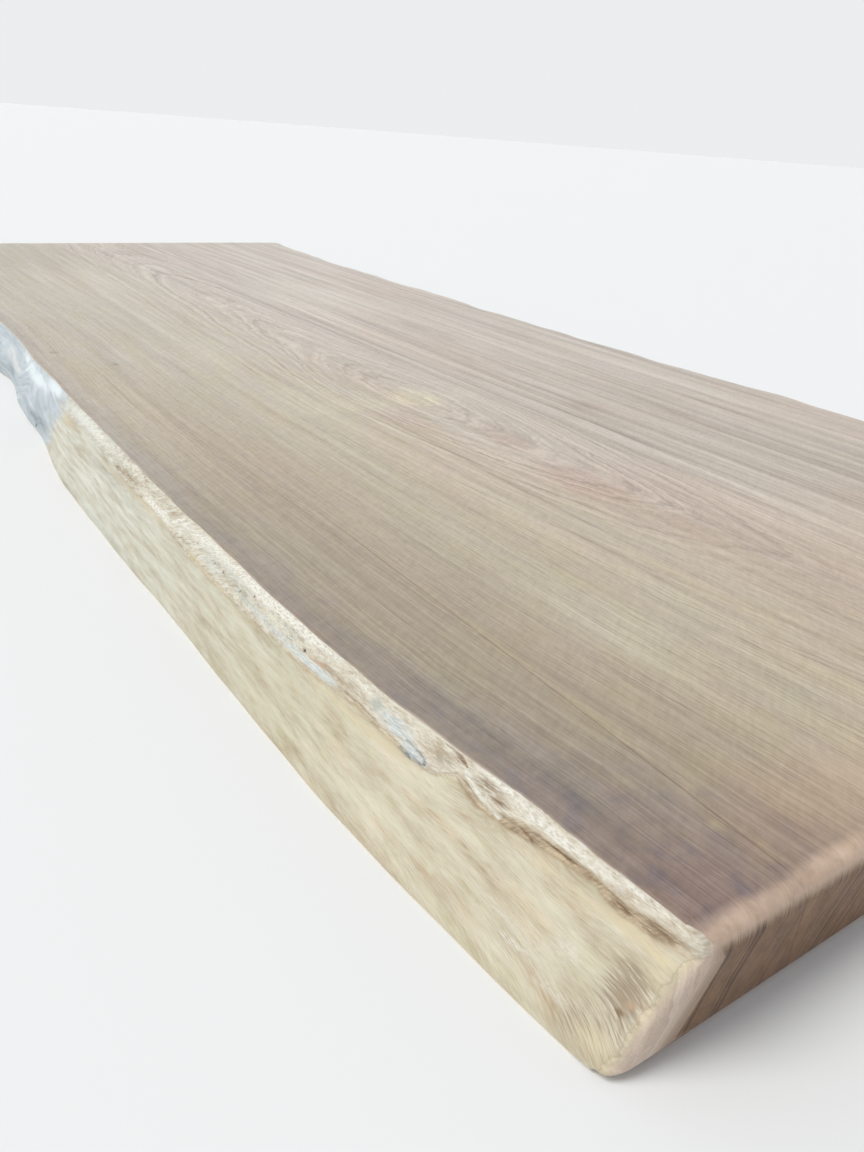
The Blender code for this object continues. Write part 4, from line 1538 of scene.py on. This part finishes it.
# %% [markdown]
# ## The strip and the groove
# The strip above the crevice is cream-white, with long streaks that lean as the torn relief does.
# The groove is a tan band with short slanting hatches. Its lower border is crisp, with a thin
# darker line that is a painted shadow under the groove's edge, and its upper border melts into the lip.

# %% Strip and groove
STRIP_LIGHT = (0.640, 0.605, 0.510)
STRIP_MIDDLE = (0.500, 0.435, 0.330)
STRIP_DARK = (0.290, 0.220, 0.155)
GROOVE_LIGHT = (0.500, 0.400, 0.265)
GROOVE_DARK = (0.230, 0.160, 0.095)
GROOVE_SHADOW_LINE = (0.380, 0.285, 0.165)
GROOVE_COVER = 0.92
STRIP_MOTTLE = (0.56, 0.60, 0.60)
STRIP_SPECK = (0.30, 0.27, 0.23)
FAR_STRIP = (0.95, 0.96, 0.94)
FARTHEST_STRIP = (0.95, 0.99, 1.05)
FAR_FROM = (0.28, 0.40)
CALM_FROM = (0.75, 0.95)
STRIP_STREAKS = (0.0085, 0.0013, 2.0, 3.0, 0.6)
STRIP_THREADS = (0.004, 0.0006, 5.0)
STRIP_CLOUDS = (0.020, 0.0045, 14.0)
STRIP_MOTTLES = (0.009, 0.0030, 21.0)
STRIP_SPECKS = (0.006, 0.0024, 22.0)
GROOVE_HATCH = (0.0014, 0.006, 17.0)
GROOVE_CLOUDS = (0.016, 0.003, 18.0)


def rough_strip(paint, along, lean):
    """Colour and height of the strip above the crevice, calmer along the board."""
    streaks = paint.fibres(along, lean, *STRIP_STREAKS)
    threads = paint.fibres(along, lean, *STRIP_THREADS)
    clouds = paint.fibres(along, lean, *STRIP_CLOUDS)
    far = paint.rise(along, *FAR_FROM)
    calm = paint.rise(along, *CALM_FROM, 1.0, 0.45)
    tone = paint.sum(0.5, (streaks, paint.times(calm, 0.90)), (threads, paint.times(calm, 0.55)),
                     (clouds, paint.add(paint.times(far, 0.35), 0.55)))
    colour = paint.ramp(tone, (0.18, STRIP_DARK), (0.40, STRIP_MIDDLE), (0.62, STRIP_LIGHT))
    mottle = paint.rise(paint.fibres(along, lean, *STRIP_MOTTLES), 0.50, 0.66)
    colour = paint.mix(paint.times(mottle, far, 0.35), colour, STRIP_MOTTLE)
    specks = paint.rise(paint.fibres(along, lean, *STRIP_SPECKS), 0.44, 0.34)
    colour = paint.mix(paint.times(specks, far, calm, 0.55), colour, STRIP_SPECK)
    colour = paint.tint(paint.rise(along, 0.16, 0.34), colour, FAR_STRIP)
    colour = paint.tint(paint.rise(along, *CALM_FROM), colour, FARTHEST_STRIP)
    return colour, paint.sum(0.5, (streaks, 0.8), (threads, 0.8))


def groove_colour(paint, along, depth):
    """Short hatches that slant across the groove."""
    slanted = paint.take(along, paint.times(depth, 1.3))
    hatch = paint.fibres(slanted, paint.add(depth, paint.times(along, 0.3)), *GROOVE_HATCH)
    clouds = paint.fibres(along, depth, *GROOVE_CLOUDS)
    tone = paint.sum(0.5, (hatch, 0.8), (clouds, 1.2))
    return paint.ramp(tone, (0.22, GROOVE_DARK), (0.60, GROOVE_LIGHT)), hatch


# %% [markdown]
# ## The finish of the live edge
# The layers are mixed in order, from the wood outwards: brushed face, strip and groove first,
# then each kind of stain, then the burl, the end grain at both tips, and the holes. Some layers are
# painted shade: the thin line under the groove, part of the brown, grey and tan, and the dark of
# the holes. A stain's number is multiplied by streaky noise before it is mixed in, which makes its
# border fibrous.

# %% Live edge material
TAN_STAIN_AND_SHADE = (0.315, 0.245, 0.160)
BROWN_STAIN_AND_SHADE = (0.190, 0.120, 0.065)
RUST_STAIN = (0.420, 0.280, 0.185)
SCAR_BROWN = (0.275, 0.210, 0.145)
BLUE_LIGHT = (0.605, 0.620, 0.585)
BLUE_DARK = (0.415, 0.450, 0.445)
SLATE_STAIN = (0.150, 0.180, 0.200)
GREY_STAIN_AND_SHADE = (0.370, 0.385, 0.335)
WHITE_WOOD = (0.695, 0.675, 0.595)
WHITE_NET = (0.500, 0.465, 0.385)
YELLOW_STAIN = (0.590, 0.505, 0.335)
CREAM = (0.600, 0.590, 0.560)
FROST = (0.640, 0.690, 0.700)
BURL_LIGHT = (0.470, 0.515, 0.535)
BURL_DARK = (0.265, 0.305, 0.325)
HOLE_SHADE_COLOUR = (0.060, 0.042, 0.030)
EDGE_BUMP = 0.0005
EDGE_BUMP_STRENGTH = 0.5
EDGE_ROUGHNESS = 0.66
TORN_BORDER = (0.008, 0.002, 1.0)
GROOVE_BORDER = (0.012, 0.0012, 23.0, 3.0)
LINE_GAPS = (0.03, 0.02, 24.0)
STREAKY = (0.009, 0.0010, 4.0, 3.0, 0.6)
FIBROUS = (0.013, 0.0010, 6.0, 3.0, 0.6)
SCAR_FIBRES = (0.017, 0.0012, 50.0, 3.0, 0.6)
WHITE_THREADS = (0.0040, 0.0012, 26.0, 3.0)
BLUE_THREADS = (0.008, 0.0009, 8.0)
BURL_SWIRLS = (0.060, 0.0042, 30.0, 3.0, 0.55)
BURL_THREADS = (0.016, 0.0011, 31.0)
SOFT_BORDER = (0.050, 0.014, 33.0)
TIP_WAVES = (0.02, 0.006, 40.0)
TIP_TEETH = (0.004, 0.0012, 41.0)


def live_edge_material():
    """The whole finish of both live edges."""
    paint = Paint("Iroko live edge")
    place = paint.place()
    along, across, lean = paint.parts(paint.stored("flow", "Vector"))
    gap_here, band_here, cut_here = paint.parts(paint.stored("groove", "Vector"))
    depth = paint.take(thickness, paint.parts(place)[2])

    torn = paint.sum(gap_here, (paint.fibres(along, depth, *TORN_BORDER), 0.9))
    below = paint.rise(torn, -0.25, 0.25)
    sap, sap_height = brushed_sapwood(paint, along, across)
    strip, strip_height = rough_strip(paint, along, lean)
    groove, hatch = groove_colour(paint, along, depth)
    share = paint.math("DIVIDE", torn, band_here)
    ragged = paint.sum(share, (paint.fibres(along, lean, *GROOVE_BORDER), 1.6))
    in_groove = paint.times(paint.rise(ragged, -2.0, -0.5), cut_here)
    in_groove = paint.times(in_groove, GROOVE_COVER, clamp=True)
    colour = paint.mix(in_groove, strip, groove)
    colour = paint.mix(below, colour, sap)
    # Painted shadow: a thin darker line along the lower border of the groove, broken up and fading out
    # along the board.
    border = paint.times(paint.rise(torn, -0.5, 0.0), paint.rise(torn, 0.9, 0.1))
    clear = paint.rise(paint.fibres(along, depth, *LINE_GAPS), 0.35, 0.65, 0.1, 0.6)
    clear = paint.times(clear, paint.rise(along, 0.35, 0.90, 1.0, 0.0))
    colour = paint.mix(paint.times(border, clear), colour, GROOVE_SHADOW_LINE)
    height = paint.mix(below, paint.mix(in_groove, strip_height, hatch), sap_height)

    streaky = paint.fibres(along, lean, *STREAKY)
    fibrous = paint.fibres(along, across, *FIBROUS)
    broken = paint.mix(below, streaky, fibrous)

    def lay(name, over, start, end, now, noise=broken):
        shown = paint.times(paint.stored(name), paint.rise(noise, 0.30, 0.62, 0.40, 1.35))
        return paint.mix(paint.rise(shown, start, end), now, over)

    # Tan stains, and painted shade along the foot.
    colour = lay("tan", TAN_STAIN_AND_SHADE, 0.05, 1.10, colour)
    scar_streaks = paint.fibres(along, across, *SCAR_FIBRES)
    in_scar = paint.rise(paint.stored("streaked"), 0.1, 0.9)
    for start, end, strength, over in ((0.53, 0.38, 0.85, SCAR_BROWN), (0.54, 0.66, 0.28, WHITE_WOOD)):
        streak = paint.times(paint.rise(scar_streaks, start, end), in_scar, strength)
        colour = paint.mix(streak, colour, over)
    net = paint.fibres(along, lean, *WHITE_THREADS)
    whites = paint.ramp(net, (0.38, WHITE_NET), (0.52, WHITE_WOOD))
    blue_threads = paint.fibres(along, lean, *BLUE_THREADS)
    blues = paint.ramp(blue_threads, (0.40, BLUE_DARK), (0.58, BLUE_LIGHT))
    # The grey includes painted shade along the foot.
    for name, over, start, end in (
        ("white", whites, 0.15, 0.95), ("yellow", YELLOW_STAIN, 0.10, 1.00),
        ("grey", GREY_STAIN_AND_SHADE, 0.15, 1.05), ("blue", blues, 0.15, 0.85), ("rust", RUST_STAIN, 0.15, 1.00),
    ):
        colour = lay(name, over, start, end, colour)

    swirls = paint.fibres(along, lean, *BURL_SWIRLS)
    threads = paint.fibres(along, lean, *BURL_THREADS)
    burl_tone = paint.sum(0.5, (swirls, 0.7), (threads, 0.40))
    burl_colour = paint.ramp(burl_tone, (0.26, BURL_DARK), (0.62, BURL_LIGHT))
    covered = paint.times(paint.stored("burl"), paint.rise(swirls, 0.30, 0.55, 0.75, 1.6))
    colour = paint.mix(paint.rise(covered, 0.08, 0.95), colour, burl_colour)
    soft = paint.fibres(along, lean, *SOFT_BORDER)
    for name, over, end in (("frost", FROST, 1.10), ("cream", CREAM, 1.20), ("pale_fold", FROST, 1.00)):
        colour = lay(name, over, 0.05, end, colour, soft)
    colour = lay("slate", SLATE_STAIN, 0.20, 1.30, colour)
    # Brown stains, and painted shade in the crevice, the first pocket and the pit.
    colour = lay("brown", BROWN_STAIN_AND_SHADE, 0.12, 1.15, colour)

    inside, _ = inside_edge(paint, place, FRONT)
    tip_lines = sap_end_colour(paint, place, inside)
    from_end = paint.from_an_end(place)
    tip = paint.sum(from_end, (paint.fibres(along, depth, *TIP_WAVES), 0.010),
                    (paint.fibres(along, depth, *TIP_TEETH), 0.004))
    tip = paint.add(tip, paint.rise(depth, 0.015, 0.006, 0.0, 0.0045))
    colour = paint.mix(paint.rise(tip, 0.0105, 0.0030), colour, tip_lines)
    rim = paint.rise(paint.size(paint.take(tip, 0.0078)), 0.0010, 0.0002)
    colour = paint.mix(paint.times(rim, 0.30), colour, TAN_STAIN_AND_SHADE)
    # Painted shade: the inside of each beetle hole is made nearly black.
    colour = paint.mix(paint.rise(paint.stored("hole"), 0.15, 0.8, 0.0, 0.9), colour, HOLE_SHADE_COLOUR)
    return paint.finish(colour, EDGE_ROUGHNESS, height, EDGE_BUMP, EDGE_BUMP_STRENGTH)


live_edge = live_edge_material()
print("live edge nodes:", len(live_edge.node_tree.nodes))

# %% [markdown]
# ## Which face gets which finish
# The two live edges take the edge's material and every sawn face the heartwood's. The piece is
# shaded smooth all over, because its corners are really rounded in the mesh.

# %% Finishes on the faces
plank.data.materials.append(heartwood)
plank.data.materials.append(live_edge)
INSIDE_CORNER = 0.0006
ABOVE_FLOOR = 0.0004
outer = {side: edge_value(side, "corner", from_near) for side in (FRONT, BACK)}
beyond_corner = np.maximum(outer[FRONT] - points[:, 1], points[:, 1] - outer[BACK]) > -INSIDE_CORNER
above_floor = points[:, 2] > ABOVE_FLOOR
edge_point = beyond_corner & above_floor
edge_faces = 0
for face in plank.data.polygons:
    square = abs(face.normal.x) > SQUARE_ON or abs(face.normal.z) > SQUARE_ON
    is_edge = not square and edge_point[list(face.vertices)].mean() > 0.5
    face.material_index = int(is_edge)
    edge_faces += is_edge
print("faces of the live edges:", edge_faces, "of", len(plank.data.polygons))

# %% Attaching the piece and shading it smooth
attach(plank, "root")
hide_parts("iroko_plank")
pick(plank)
bpy.ops.object.shade_smooth()
tris = sum(len(face.vertices) - 2 for face in plank.data.polygons)
print("triangles:", tris)
